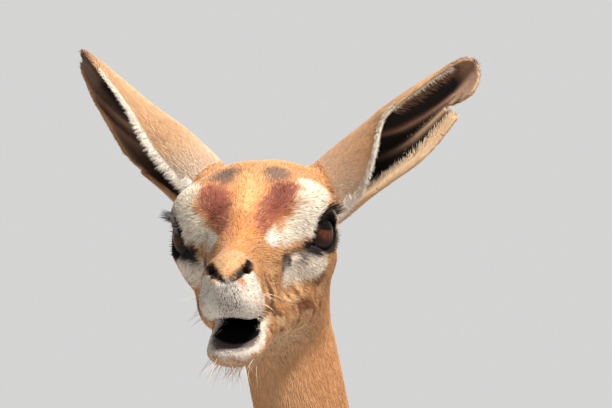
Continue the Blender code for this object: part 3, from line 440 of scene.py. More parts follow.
# The ears
# Each ear is a long leaf of gristle rolled into a cup, thin at its rim, notched on its outer edge, with three low
# ridges inside. The left one opens forward and the right one outward, so that the photo sees both cups.
ear_length = 0.137
ear_root = np.array((0.0232, 0.0625, 0.0155))
ear_shapes = {
    "left": {"way": (0.79, -0.05, 0.61), "opens": (0.28, -0.86, -0.43), "turn": 62.0, "notch": 0.765, "deep": 0.48},
    "right": {"way": (-0.66, 0.16, 0.74), "opens": (-0.68, -0.54, -0.50), "turn": -27.0, "notch": 0.385, "deep": 0.86},
}
ear_rows = (
    (0.00, 0.0165, 0.0400),
    (0.20, 0.0174, 0.0480),
    (0.40, 0.0180, 0.0435),
    (0.60, 0.0188, 0.0315),
    (0.78, 0.0160, 0.0225),
    (0.90, 0.0132, 0.0152),
    (0.97, 0.0114, 0.0094),
    (1.00, 0.0102, 0.0030),
)
# Where the ridges inside lie at six tenths of the length, from the inner edge at -1 to the outer at 1, how they
# slant towards the outer edge, and the dyes of their skin
ear_ridges = {
    "left": ((-0.45, 0.10, (0.18, 0.09, 0.06)), (0.20, 1.10, (0.50, 0.27, 0.19)), (0.49, 0.45, (0.66, 0.43, 0.27))),
    # The right ear's two outer ridges are painted pale, painted light on ridges that lie in shade.
    "right": ((0.20, 0.20, (0.42, 0.24, 0.15)), (0.60, 1.15, (0.60, 0.36, 0.24)), (0.80, 1.30, (0.60, 0.36, 0.24))),
}


def ear_frame(side, share):
    """The cup of an ear at some shares of its length: way to the tip, middle, way it opens, way across, radius and
    half angle."""
    shape = ear_shapes[side]
    sign = 1.0 if side == "left" else -1.0
    way = np.array(shape["way"]) / np.linalg.norm(shape["way"])
    opens = np.array(shape["opens"]) - np.dot(shape["opens"], way) * way
    opens /= np.linalg.norm(opens)
    table = course(ear_rows, 7)
    radius = np.interp(share, table[:, 0], table[:, 1])
    half = np.interp(share, table[:, 0], table[:, 2]) / radius
    turn = np.radians(shape["turn"]) * np.maximum(0.0, 1.0 - share / 0.55) * sign
    open_way = opens * np.cos(turn)[:, None] + np.cross(way, opens) * np.sin(turn)[:, None]
    middle = ear_root * (sign, 1.0, 1.0) + way * (share * ear_length)[:, None]
    middle = middle + open_way * (radius * np.sin(half) / half)[:, None]
    return way, middle, open_way, np.cross(way, open_way), radius, half


def ear_places(points, side):
    """Where points lie on an ear: share of its length, angle round its cup, distance from the cup's middle, and
    the cup's radius, half angle and how far they are past an end."""
    sign = 1.0 if side == "left" else -1.0
    way = np.array(ear_shapes[side]["way"]) / np.linalg.norm(ear_shapes[side]["way"])
    run = (points - ear_root * (sign, 1.0, 1.0)) @ way / ear_length
    share = np.clip(run, 0.0, 1.0)
    way, middle, open_way, side_way, radius, half = ear_frame(side, share)
    offset = points - middle
    across, behind = (offset * side_way).sum(1), -(offset * open_way).sum(1)
    return share, np.arctan2(across, behind), np.hypot(across, behind), radius, half, (run - share) * ear_length


def ear_form(points, side):
    share, angle, distance, radius, half, past = ear_places(points, side)
    sign = 1.0 if side == "left" else -1.0
    shape = ear_shapes[side]
    across = angle / half * sign
    past_apex = (across - shape["deep"]) / (1.0 - shape["deep"])
    from_notch = np.abs(share - shape["notch"] - 0.075 * past_apex)
    notch = (0.055 * past_apex - from_notch) * ear_length
    beyond = np.maximum(np.abs(angle) - half, 0.0) * radius
    thickness = np.interp(share, (0.0, 0.25, 1.0), (0.0036, 0.0027, 0.0022))
    ridges = sum(
        np.exp(-(((across - place - slant * (share - 0.6)) / 0.07) ** 2)) for place, slant, _ in ear_ridges[side]
    )
    ridges = ridges * 0.0016 * np.clip((share - 0.1) / 0.2, 0.0, 1.0) * np.clip((0.93 - share) / 0.15, 0.0, 1.0)
    inside = np.clip((radius - distance) / 0.0008, 0.0, 1.0)
    leaf = np.sqrt((distance - radius) ** 2 + beyond**2 + past**2) - thickness / 2 - ridges * inside
    return np.maximum(leaf, np.clip(notch * 0.8, -0.05, 0.01))


def coat_depth(points, head_points):
    """How far the hide lies under the coat's outer surface: deep on the trunk, thin on legs, face and lids."""
    heights = (0.00, 0.05, 0.30, 0.45, 0.65, 0.80, 0.95, 1.15, 1.26)
    depths = (0.0006, 0.0008, 0.0012, 0.0018, 0.0034, 0.0038, 0.0032, 0.0022, 0.0011)
    depth = np.interp(points[:, 2], heights, depths)
    depth = np.where((points[:, 1] > 0.372) & (points[:, 2] > 0.45), 0.0010, depth)
    side = np.abs(head_points[:, 0])
    to_eye = np.linalg.norm(np.stack([side, head_points[:, 1], head_points[:, 2]], 1) - np.array(eye_at), axis=1)
    bare = np.clip((to_eye - 0.021) / 0.010, 0.12, 1.0)
    bare = np.minimum(bare, np.clip((head_points[:, 1] + 0.108) / 0.030, 0.30, 1.0))
    return depth * np.where(points[:, 2] > 1.15, bare, 1.0)


def to_head(points):
    """Points of the body's frame in the head's own."""
    return (points - (0.0, -0.600, 1.315)) @ np.array(head_turn.to_3x3())


def from_head(points):
    """Points of the head's own frame in the model's."""
    return points @ np.array(head_turn.to_3x3()).T + np.array(head_place)


def lower_flesh(points):
    form = body(points)
    near = points[:, 2] > 1.15
    form[near] = join(form[near], head(to_head(points[near])), 0.022)
    return form + coat_depth(points, to_head(points))


def upper_flesh(points):
    head_points = to_head(points)
    form = join(limb(points, neck_rows), head(head_points), 0.022) + coat_depth(points, head_points)
    for side, sign in (("left", 1.0), ("right", -1.0)):
        near = (head_points[:, 0] * sign > 0.012) & (head_points[:, 1] > 0.025) & (head_points[:, 2] > -0.02)
        form[near] = join(form[near], ear_form(head_points[near], side), 0.005)
    return form


# The hide
# One unbroken skin over trunk, neck, head, ears, legs and tail, a coat's depth under the outer surface. It is made of
# small cells where the head needs them and larger ones on the body, and sewn together behind the jaw.
def measured(form, low, high, cell):
    """The form's values on a grid of points. Far from the surface only their signs are right."""
    block = 6
    span = cell * block
    counts = np.ceil((np.array(high) - low) / span).astype(int)
    corners = np.stack(np.meshgrid(*[np.arange(n) for n in counts], indexing="ij"), -1).reshape(-1, 3)
    rough = form(np.array(low) + (corners + 0.5) * span)
    field = np.repeat(np.sign(rough).astype(np.float32) * 0.1, block**3).reshape(*counts, block, block, block)
    field = field.reshape(-1, block, block, block)
    steps = np.stack(np.meshgrid(*[np.arange(block)] * 3, indexing="ij"), -1).reshape(-1, 3)
    near = np.flatnonzero(np.abs(rough) < span * 1.1)
    for some in np.array_split(near, max(1, len(near) // 300)):
        points = np.array(low) + (corners[some][:, None, :] * block + steps) * cell
        field[some] = form(points.reshape(-1, 3)).reshape(-1, block, block, block)
    field = field.reshape(*counts, block, block, block).transpose(0, 3, 1, 4, 2, 5)
    return field.reshape(counts * block)


def skinned(form, low, high, cell):
    """Vertices and four-sided faces of the surface where the form is zero."""
    field = measured(form, low, high, cell)
    inside = field < 0
    corners = [np.array((i, j, k)) for i in (0, 1) for j in (0, 1) for k in (0, 1)]
    nx, ny, nz = np.array(field.shape) - 1
    held = sum(inside[i : i + nx, j : j + ny, k : k + nz].astype(np.int8) for i, j, k in corners)
    crossed = (held > 0) & (held < 8)
    cells = np.argwhere(crossed)
    index = np.full(crossed.shape, -1)
    index[crossed] = np.arange(len(cells))
    total, hits = np.zeros((len(cells), 3)), np.zeros(len(cells))
    for first in corners:
        for second in corners:
            if (second - first).sum() != 1 or (second < first).any():
                continue
            a = field[tuple((cells + first).T)]
            b = field[tuple((cells + second).T)]
            met = (a < 0) != (b < 0)
            share = a[met] / (a[met] - b[met])
            total[met] += first + share[:, None] * (second - first)
            hits[met] += 1
    vertices = np.array(low) + (cells + total / hits[:, None]) * cell
    faces = []
    for axis in range(3):
        step, one, two = (np.roll((1, 0, 0), n) for n in (axis, axis + 1, axis + 2))
        size = np.array(field.shape) - step
        starts = inside[: size[0], : size[1], : size[2]]
        ends = inside[step[0] :, step[1] :, step[2] :]
        edge = np.argwhere(starts != ends)
        edge = edge[((edge > 0) | (step == 1)).all(1) & (edge < np.array(crossed.shape)).all(1)]
        quads = np.stack([index[tuple((edge - move).T)] for move in (0 * one, one, one + two, two)], 1)
        entering = ends[tuple(edge.T)]
        quads[entering] = quads[entering][:, ::-1]
        faces.append(quads)
    for _ in range(2):
        reach = 0.25 * cell
        slope = np.stack([form(vertices + reach * axis) - form(vertices - reach * axis) for axis in np.eye(3)], 1)
        slope /= 2 * reach
        move = (form(vertices) / np.maximum((slope**2).sum(1), 0.05))[:, None] * slope
        length = np.maximum(np.linalg.norm(move, axis=1), 1e-9)
        vertices = vertices - move * np.minimum(1.0, 0.5 * cell / length)[:, None]
    return vertices, np.concatenate(faces)


def mesh_of(name, vertices, faces):
    """A mesh from points and faces of one size."""
    faces = np.asarray(faces)
    mesh = bpy.data.meshes.new(name)
    mesh.vertices.add(len(vertices))
    mesh.vertices.foreach_set("co", np.asarray(vertices, np.float32).ravel())
    mesh.loops.add(faces.size)
    mesh.loops.foreach_set("vertex_index", faces.astype(np.int32).ravel())
    mesh.polygons.add(len(faces))
    mesh.polygons.foreach_set("loop_start", np.arange(len(faces), dtype=np.int32) * faces.shape[1])
    mesh.update(calc_edges=True)
    return mesh


def piece(name, mesh, material, slot, *nodes):
    """A finished piece of the animal, smooth, in its finish, standing for the solids of those names."""
    made = bpy.data.objects.new(name, mesh)
    bpy.context.scene.collection.objects.link(made)
    mesh.materials.clear()
    mesh.materials.append(material)
    mesh.shade_smooth()
    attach(made, "root")
    if nodes:
        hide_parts(*nodes)
    return made


def thinned(mesh, triangles):
    """The mesh with fewer triangles, most of them where it bends."""
    rough = bpy.data.objects.new("rough", mesh)
    bpy.context.scene.collection.objects.link(rough)
    mesh.calc_loop_triangles()
    modifier = rough.modifiers.new("thin", "DECIMATE")
    modifier.ratio = min(1.0, triangles / len(mesh.loop_triangles))
    graph = bpy.context.evaluated_depsgraph_get()
    thin = bpy.data.meshes.new_from_object(rough.evaluated_get(graph), depsgraph=graph)
    bpy.data.objects.remove(rough)
    return thin


seam_at = Vector((-0.006, -0.528, 1.250))
seam_way = Vector((0.0, -0.35, 0.94)).normalized()


def half_hide(form, low, high, cell, side, triangles):
    """One side of the seam behind the jaw, open there: 1 for the head's, -1 for the body's."""
    spare = 2.5 * cell
    edge_gap = 0.0008

    def open_form(points):
        beyond = (points - np.array(seam_at)) @ np.array(seam_way)
        return np.maximum(form(points), -side * beyond - spare)

    mesh = thinned(mesh_of("half hide", *skinned(open_form, low, high, cell)), triangles)
    bm = bmesh.new()
    bm.from_mesh(mesh)
    keep_way = -seam_way * side
    bmesh.ops.bisect_plane(
        bm,
        geom=bm.verts[:] + bm.edges[:] + bm.faces[:],
        dist=1e-7,
        plane_co=seam_at + seam_way * side * edge_gap,
        plane_no=keep_way,
        clear_outer=True,
    )
    seen, parts = set(), []
    for start in bm.verts:
        if start not in seen:
            group, edge_of_search = [], [start]
            seen.add(start)
            while edge_of_search:
                vertex = edge_of_search.pop()
                group.append(vertex)
                for edge in vertex.link_edges:
                    other = edge.other_vert(vertex)
                    if other not in seen:
                        seen.add(other)
                        edge_of_search.append(other)
            parts.append(group)
    parts.sort(key=len)
    scraps = [vertex for group in parts[:-1] for vertex in group]
    bmesh.ops.delete(bm, geom=scraps, context="VERTS")
    bm.to_mesh(mesh)
    bm.free()
    return mesh


head_cell, body_cell = 0.0013, 0.0048
head_at = np.array((0.0, -0.600, 1.315))
upper_hide = half_hide(upper_flesh, head_at - (0.18, 0.14, 0.13), head_at + (0.14, 0.21, 0.16), head_cell, 1.0, 118000)
lower_hide = half_hide(lower_flesh, (-0.16, -0.60, 0.0), (0.16, 0.44, 1.30), body_cell, -1.0, 74000)
sewn = bmesh.new()
sewn.from_mesh(upper_hide)
sewn.from_mesh(lower_hide)
bmesh.ops.bridge_loops(sewn, edges=[edge for edge in sewn.edges if edge.is_boundary])
bmesh.ops.triangulate(sewn, faces=sewn.faces)
bmesh.ops.translate(sewn, verts=sewn.verts, vec=Vector(body_origin))
hide_mesh = bpy.data.meshes.new("hide")
sewn.to_mesh(hide_mesh)
sewn.free()


# The markings
# Rufous fawn with a darker saddle, white below and inside the legs. The face has chestnut patches over a pale
# brow, a dark streak from each eye, a white muzzle round a dark nose, and ears painted near black inside,
# partly their own dark skin and partly painted shade of the cups.
def painted(colours, dye, mask):
    return colours + (np.array(dye) - colours) * np.clip(mask, 0.0, 1.0)[:, None]


def covered(form, softness):
    """1 inside a form and 0 outside it, with a soft edge."""
    return np.clip(0.5 - form / softness, 0.0, 1.0)


def waves(points, size, seed):
    """Smooth uneven values, mostly between -1 and 1, that change over about that size."""
    chance = np.random.default_rng(seed)
    total = np.zeros(len(points))
    for _ in range(7):
        way = chance.normal(size=3)
        way *= 2.0 * math.pi / size * chance.uniform(0.6, 1.5) / np.linalg.norm(way)
        total += np.sin(points @ way + chance.uniform(0.0, 6.28))
    return total / 2.6


cheek_tan = (0.60, 0.300, 0.125)
neck_fawn = (0.60, 0.30, 0.135)
black_skin = (0.008, 0.006, 0.005)
# Each mark on the face: its streak's two ends and radii, how soft its edge is, and its dye
face_marks = (
    ((0.000, 0.040, 0.040), (0.000, -0.012, 0.034), 0.028, 0.024, 0.012, (0.66, 0.33, 0.135)),
    ((0.000, -0.002, 0.036), (0.001, -0.040, 0.016), 0.0066, 0.0050, 0.008, (0.80, 0.45, 0.19)),
    ((0.002, -0.046, 0.010), (0.001, -0.098, -0.008), 0.0100, 0.0080, 0.008, (0.68, 0.28, 0.09)),
    ((0.0205, -0.016, 0.030), (0.0100, -0.052, 0.0055), 0.0125, 0.0070, 0.006, (0.66, 0.27, 0.10)),
    ((0.0370, -0.007, 0.0225), (0.0360, -0.020, 0.0100), 0.0112, 0.0100, 0.004, (0.84, 0.73, 0.59)),
    ((0.0365, -0.020, 0.0075), (0.0250, -0.043, -0.0010), 0.0098, 0.0072, 0.004, (0.84, 0.75, 0.63)),
    ((0.0235, -0.043, 0.002), (0.0180, -0.0525, -0.002), 0.0062, 0.0046, 0.004, (0.90, 0.86, 0.79)),
    ((0.0215, -0.0170, 0.0270), (0.0165, -0.0300, 0.0160), 0.0094, 0.0080, 0.0030, (0.37, 0.125, 0.075)),
    ((0.0165, -0.0300, 0.0160), (0.0120, -0.0500, 0.0050), 0.0074, 0.0042, 0.0035, (0.40, 0.135, 0.075)),
    ((0.0210, -0.0190, 0.0255), (0.0165, -0.0310, 0.0155), 0.0056, 0.0040, 0.0060, (0.27, 0.080, 0.050)),
    ((0.0170, -0.0010, 0.0365), (0.0140, 0.0060, 0.0385), 0.0082, 0.0070, 0.006, (0.25, 0.150, 0.105)),
    ((0.0370, -0.014, -0.0180), (0.0270, -0.036, -0.0230), 0.0100, 0.0092, 0.005, (0.85, 0.75, 0.63)),
    ((0.0330, -0.024, -0.0160), (0.0275, -0.037, -0.0190), 0.0032, 0.0034, 0.004, (0.40, 0.32, 0.27)),
    ((0.0190, -0.077, -0.0280), (0.0208, -0.070, -0.0400), 0.0060, 0.0066, 0.006, (0.27, 0.105, 0.05)),
    ((0.0230, -0.070, -0.0420), (0.0260, -0.050, -0.0480), 0.0046, 0.0040, 0.004, (0.24, 0.09, 0.04)),
    ((0.0300, -0.030, -0.0400), (0.0330, -0.010, -0.0420), 0.0052, 0.0040, 0.005, (0.22, 0.08, 0.035)),
    ((0.0385, -0.006, -0.0230), (0.0380, 0.004, -0.0250), 0.0035, 0.0030, 0.005, (0.30, 0.12, 0.06)),
    ((0.0000, -0.122, -0.0400), (0.0100, -0.104, -0.0410), 0.0150, 0.0096, 0.004, (0.84, 0.77, 0.69)),
    ((0.0120, -0.108, -0.0490), (0.0125, -0.089, -0.0500), 0.0060, 0.0050, 0.003, (0.80, 0.72, 0.64)),
    ((0.0140, -0.114, -0.0260), (0.0120, -0.110, -0.0340), 0.0070, 0.0076, 0.004, (0.84, 0.76, 0.66)),
    ((0.0000, -0.1010, -0.0085), (0.0000, -0.1160, -0.0160), 0.0085, 0.0078, 0.004, (0.68, 0.40, 0.20)),
    ((0.0150, -0.1000, -0.0110), (0.0140, -0.1080, -0.0130), 0.0028, 0.0028, 0.005, (0.34, 0.25, 0.21)),
    ((0.0000, -0.1020, -0.0800), (0.0080, -0.0780, -0.0760), 0.0060, 0.0080, 0.007, (0.58, 0.38, 0.23)),
    ((0.0400, -0.0180, -0.0080), (0.0270, -0.0400, -0.0140), 0.0058, 0.0056, 0.003, (0.020, 0.015, 0.014)),
    ((0.0280, -0.0370, -0.0160), (0.0262, -0.0425, -0.0190), 0.0064, 0.0056, 0.004, (0.07, 0.050, 0.044)),
    ((0.0010, -0.1245, -0.0265), (0.0078, -0.1185, -0.0215), 0.0014, 0.0020, 0.0016, (0.022, 0.019, 0.019)),
    ((0.0078, -0.1185, -0.0215), (0.0128, -0.1065, -0.0168), 0.0028, 0.0032, 0.0016, (0.010, 0.008, 0.008)),
    ((0.0000, -0.1250, -0.0280), (0.0000, -0.1220, -0.0460), 0.0007, 0.0006, 0.0012, (0.15, 0.11, 0.10)),
)

# The strip of the muzzle below the nose where dark hairs stand among the white: its two ends and radii
speckled_strip = ((0.001, -0.1245, -0.031), (0.001, -0.122, -0.047), 0.0062, 0.0080)


def eye_gap(points):
    """How far points are outside the gap between the lids, across it."""
    u, v, w = opening_places(points)
    gap = np.abs(v) - opening_half_height * np.clip(lid_arch(u), -1.5, 1.0)
    return np.where(w > 0.0, gap, 0.1)


def face_colours(points, normals):
    wander = np.stack([waves(points, 0.009, seed) for seed in (1, 2, 3)], 1) * 0.0011
    side = points + wander
    side[:, 0] = np.abs(side[:, 0])
    colours = np.tile(cheek_tan, (len(points), 1))
    throat = np.clip(-normals[:, 2] * 1.6 - 0.2, 0.0, 1.0) * np.clip((-0.040 - points[:, 2]) / 0.02, 0.0, 1.0)
    colours = painted(colours, (0.62, 0.42, 0.27), throat * 0.7)
    on_cheek = covered(egg(side, (0.027, -0.035, -0.042), (0.024, 0.066, 0.028)), 0.014)
    slanted = points * (1.0, 0.75, 1.0) + np.stack([0 * side[:, 0], side[:, 2] * 0.5, 0 * side[:, 0]], 1)
    pale_mottle = np.clip(waves(slanted, 0.013, 13) * 1.4 + 0.15, 0.0, 1.0) * on_cheek
    colours = painted(colours, (0.84, 0.56, 0.29), pale_mottle * 0.85)
    mottle = np.clip(waves(slanted, 0.010, 11) * 1.8 - 0.60, 0.0, 1.0) * on_cheek
    colours = painted(colours, (0.24, 0.09, 0.04), mottle * 0.85)
    for start, end, start_radius, end_radius, softness, dye in face_marks:
        colours = painted(colours, dye, covered(rod(side, start, end, start_radius, end_radius), softness))
    colours = painted(colours, (0.42, 0.37, 0.34), covered(rod(side, *speckled_strip), 0.006) * 0.45)
    lip = covered(mouth_hollow(side) - 0.0062, 0.003) * (side[:, 2] < -0.047) * (side[:, 1] < -0.064)
    colours = painted(colours, (0.80, 0.72, 0.63), lip)
    side = points.copy()
    side[:, 0] = np.abs(points[:, 0])
    gap, (along, up, _) = eye_gap(side), opening_places(side)
    at_back = np.clip(-along / opening_half_length, 0.0, 1.0)
    # A pale line round the lids at their back corners is painted light: the lids' hair where it is lit.
    colours = painted(colours, (0.74, 0.56, 0.40), covered(gap - 0.0034, 0.001) * (at_back > 0.25))
    rim = np.where(up > 0.0, 0.0025, 0.0018) * (1.0 - 0.6 * at_back)
    return painted(colours, (0.014, 0.010, 0.009), covered(gap - rim, 0.0010))


def bareness(points):
    """1 where the head's skin is bare and moist: nostrils, mouth, the lids' edges and the bare part of the nose."""
    side = points.copy()
    side[:, 0] = np.abs(points[:, 0])
    bare = covered(mouth_hollow(side) - 0.0022, 0.002)
    bare = np.maximum(bare, covered(nostril(side) - 0.0006, 0.001))
    bare = np.maximum(bare, covered(eye_gap(side) - 0.0010, 0.001))
    nose_pad = rod(side, (0.0, -0.1255, -0.0270), (0.0070, -0.1200, -0.0225), 0.0012, 0.0016)
    return np.maximum(bare, covered(nose_pad, 0.001))


def ear_colours(points, side):
    share, angle, distance, radius, half, past = ear_places(points, side)
    across = angle / half * (1.0 if side == "left" else -1.0)
    outer = np.tile((0.70, 0.43, 0.24), (len(points), 1))
    outer = painted(outer, (0.48, 0.31, 0.20), np.clip(waves(points, 0.012, 21) * 0.8, 0.0, 1.0) * 0.4)
    base = np.clip((0.40 - share) / 0.25, 0.0, 1.0) * np.clip(0.2 - across, 0.0, 1.0)
    outer = painted(outer, (0.72, 0.60, 0.48), base * 0.9)
    outer = painted(outer, (0.30, 0.15, 0.08), np.clip((share - 0.84) / 0.12, 0.0, 1.0) * 0.8)
    outer = painted(outer, (0.80, 0.70, 0.57), np.clip((-0.93 - across) / 0.06, 0.0, 1.0) * (share < (0.62 if side == "left" else 0.84)))
    outer = painted(outer, cheek_tan, np.clip((0.20 - share) / 0.12, 0.0, 1.0) * (across > -0.85))
    # The cups' skin is painted near black: partly its own dark colour, partly painted shade of the hollow.
    inner = np.tile((0.010, 0.007, 0.006), (len(points), 1))
    for place, slant, dye in ear_ridges[side]:
        reach = np.clip((share - 0.36) / 0.25, 0.0, 1.0) * np.clip((0.93 - share) / 0.1, 0.0, 1.0)
        ridge = np.exp(-(((across - place - slant * (share - 0.6)) / (0.035 + 0.045 * share)) ** 2))
        inner = painted(inner, dye, ridge * reach)
    # Inside the outer edge the left ear has a pale band, while the right ear's band is painted dark brown: painted
    # shade for the shadow over that part of its cup.
    band_start, band_width, band_dye_and_shade = (0.70, 0.1, (0.74, 0.50, 0.30)) if side == "left" else (0.52, 0.3, (0.24, 0.13, 0.085))
    inner = painted(inner, band_dye_and_shade, np.clip((across - band_start) / band_width, 0.0, 1.0))
    tip_dye = (0.26, 0.14, 0.085) if side == "left" else (0.13, 0.070, 0.045)
    inner = painted(inner, tip_dye, np.clip((share - 0.88) / 0.06, 0.0, 1.0))
    tip_side = np.clip((share - 0.84) / 0.04, 0.0, 1.0) * np.clip((across - 0.30) / 0.2, 0.0, 1.0)
    inner = painted(inner, (0.50, 0.32, 0.23), tip_side * (0.8 if side == "left" else 0.3))
    inner = painted(inner, (0.45, 0.28, 0.17), np.clip((-0.92 - across) / 0.05, 0.0, 1.0))
    inner = painted(inner, (0.84, 0.74, 0.61), np.clip((0.24 - share) / 0.06, 0.0, 1.0) * (across > 0.5))
    rim = np.clip((np.abs(across) - 0.95) / 0.04, 0.0, 1.0) * (across > 0.0)
    rim_dye = (0.76, 0.52, 0.32) if side == "left" else (0.56, 0.30, 0.15)
    dyes = painted(np.where((distance < radius)[:, None], inner, outer), rim_dye, rim)
    return painted(dyes, cheek_tan, np.clip((0.04 - share) / 0.05, 0.0, 1.0))


def body_colours(points, normals):
    """The dyes of trunk, neck, legs and tail, from points in the body's frame."""
    wander = np.stack([waves(points, 0.05, seed) for seed in (31, 32, 33)], 1) * 0.006
    x, y, z = (points + wander).T
    colours = np.tile(neck_fawn, (len(points), 1))
    on_trunk = np.clip((0.40 - np.abs(y)) / 0.06, 0.0, 1.0) * np.clip((z - 0.60) / 0.06, 0.0, 1.0)
    on_trunk *= np.clip((0.98 - z - np.maximum(-0.22 - y, 0.0)) / 0.06, 0.0, 1.0)
    colours = painted(colours, (0.52, 0.245, 0.105), on_trunk)
    saddle_edge = 0.842 - 0.05 * np.clip((y - 0.15) / 0.2, 0.0, 1.0) + 0.09 * np.clip((-0.06 - y) / 0.16, 0.0, 1.0)
    colours = painted(colours, (0.64, 0.37, 0.19), on_trunk * np.clip(1.0 - np.abs(z - saddle_edge + 0.012) / 0.014, 0.0, 1.0) * 0.7)
    colours = painted(colours, (0.33, 0.125, 0.055), on_trunk * np.clip((z - saddle_edge) / 0.014, 0.0, 1.0))
    nape = np.clip(normals[:, 1] * 1.5 - 0.3, 0.0, 1.0) * np.clip((z - 0.88) / 0.08, 0.0, 1.0)
    colours = painted(colours, (0.40, 0.165, 0.075), nape * 0.7)
    throat = np.clip(-normals[:, 1] * 1.6 - 0.7, 0.0, 1.0) * np.clip((z - 0.95) / 0.10, 0.0, 1.0)
    colours = painted(colours, (0.68, 0.42, 0.24), throat * 0.6)
    under = np.clip(-normals[:, 2] * 3.0 - 0.9, 0.0, 1.0) * np.clip((0.79 - z) / 0.06, 0.0, 1.0)
    under *= np.clip((z - 0.55) / 0.05, 0.0, 1.0)
    colours = painted(colours, (0.80, 0.75, 0.68), under)
    inward = np.clip(-normals[:, 0] * np.sign(points[:, 0]) * 2.5 - 0.7, 0.0, 1.0)
    colours = painted(colours, (0.78, 0.73, 0.66), inward * np.clip((0.74 - z) / 0.05, 0.0, 1.0) * np.clip((z - 0.30) / 0.1, 0.0, 1.0))
    low = np.clip((0.40 - z) / 0.15, 0.0, 1.0)
    colours = painted(colours, (0.56, 0.31, 0.155), low)
    colours = painted(colours, (0.62, 0.42, 0.26), low * np.clip(normals[:, 1] * 1.5 - 0.2, 0.0, 1.0) * 0.6)
    rump = covered(egg(points * (1, 1, 1), (0.0, 0.345, 0.790), (0.045, 0.035, 0.085)), 0.02)
    colours = painted(colours, (0.82, 0.77, 0.70), rump)
    for leg in ("front_left", "front_right"):
        knee = np.array(stations_of(leg)[6][:3]) + (0.0, -0.014, 0.0)
        colours = painted(colours, (0.11, 0.055, 0.03), covered(egg(points, knee, (0.016, 0.016, 0.026)), 0.012) * 0.9)
    for leg in strides:
        for claw_side in (-1.0, 1.0):
            claw = np.array(stations_of(leg)[10][:3]) + (claw_side * 0.0095, 0.0165, -0.0125)
            colours = painted(colours, (0.05, 0.035, 0.03), covered(egg(points, claw, (0.0064, 0.0074, 0.0080)), 0.002))
    colours = painted(colours, (0.30, 0.16, 0.085), np.clip((0.062 - z) / 0.02, 0.0, 1.0) * 0.7)
    tail = (points[:, 1] > 0.372) & (np.abs(points[:, 0]) < 0.03) & (z < 0.87) & (z > 0.55)
    tail_dye = painted(np.tile((0.50, 0.24, 0.11), (len(points), 1)), (0.02, 0.014, 0.012), (0.76 - z) / 0.05)
    return np.where(tail[:, None], tail_dye, colours)


def of_ears(head_points):
    """Which ear each point is on, 1 for the left, -1 for the right, 0 for neither."""
    which = np.zeros(len(head_points))
    near = np.flatnonzero((head_points[:, 1] > 0.015) & (head_points[:, 2] > -0.01) & (np.abs(head_points[:, 0]) > 0.015))
    off_head = head(head_points[near]) > 0.0035
    for side, sign in (("left", 1.0), ("right", -1.0)):
        here = near[off_head & (head_points[near, 0] * sign > 0.0)]
        which[here[ear_form(head_points[here], side) < 0.003]] = sign
    return which


def headness(head_points):
    """1 on the head and 0 on the neck."""
    past_jaw = np.clip((head_points[:, 1] - 0.015) / 0.035, 0.0, 1.0) * np.clip((-0.005 - head_points[:, 2]) / 0.030, 0.0, 1.0)
    below = np.clip((-0.080 - head_points[:, 2]) / 0.006, 0.0, 1.0)
    behind = np.clip((head_points[:, 1] - 0.075) / 0.02, 0.0, 1.0) * np.clip((0.02 - head_points[:, 2]) / 0.03, 0.0, 1.0)
    return 1.0 - np.maximum(np.maximum(past_jaw, below), behind)


def coat_colours(points, normals, ears):
    """The coat's dyes at points of the body's frame, with the skin's normals there and which ear they are on."""
    colours = np.empty((len(points), 3))
    high = points[:, 2] > 1.18
    colours[~high] = body_colours(points[~high], normals[~high])
    head_points = to_head(points[high])
    on_head = headness(head_points)[:, None]
    turned = normals[high] @ np.array(head_turn.to_3x3())
    face = face_colours(head_points, turned)
    colours[high] = face * on_head + body_colours(points[high], normals[high]) * (1.0 - on_head)
    head_points = to_head(points)
    for side, sign in (("left", 1.0), ("right", -1.0)):
        here = ears == sign
        colours[here] = ear_colours(head_points[here], side)
    return colours


def node(tree, kind, place, **values):
    """A node of a material, with the values of its sockets and settings."""
    made = tree.nodes.new(kind)
    made.location = place
    for name, value in values.items():
        if hasattr(made, name):
            setattr(made, name, value)
        else:
            made.inputs[name.replace("_", " ")].default_value = value
    return made


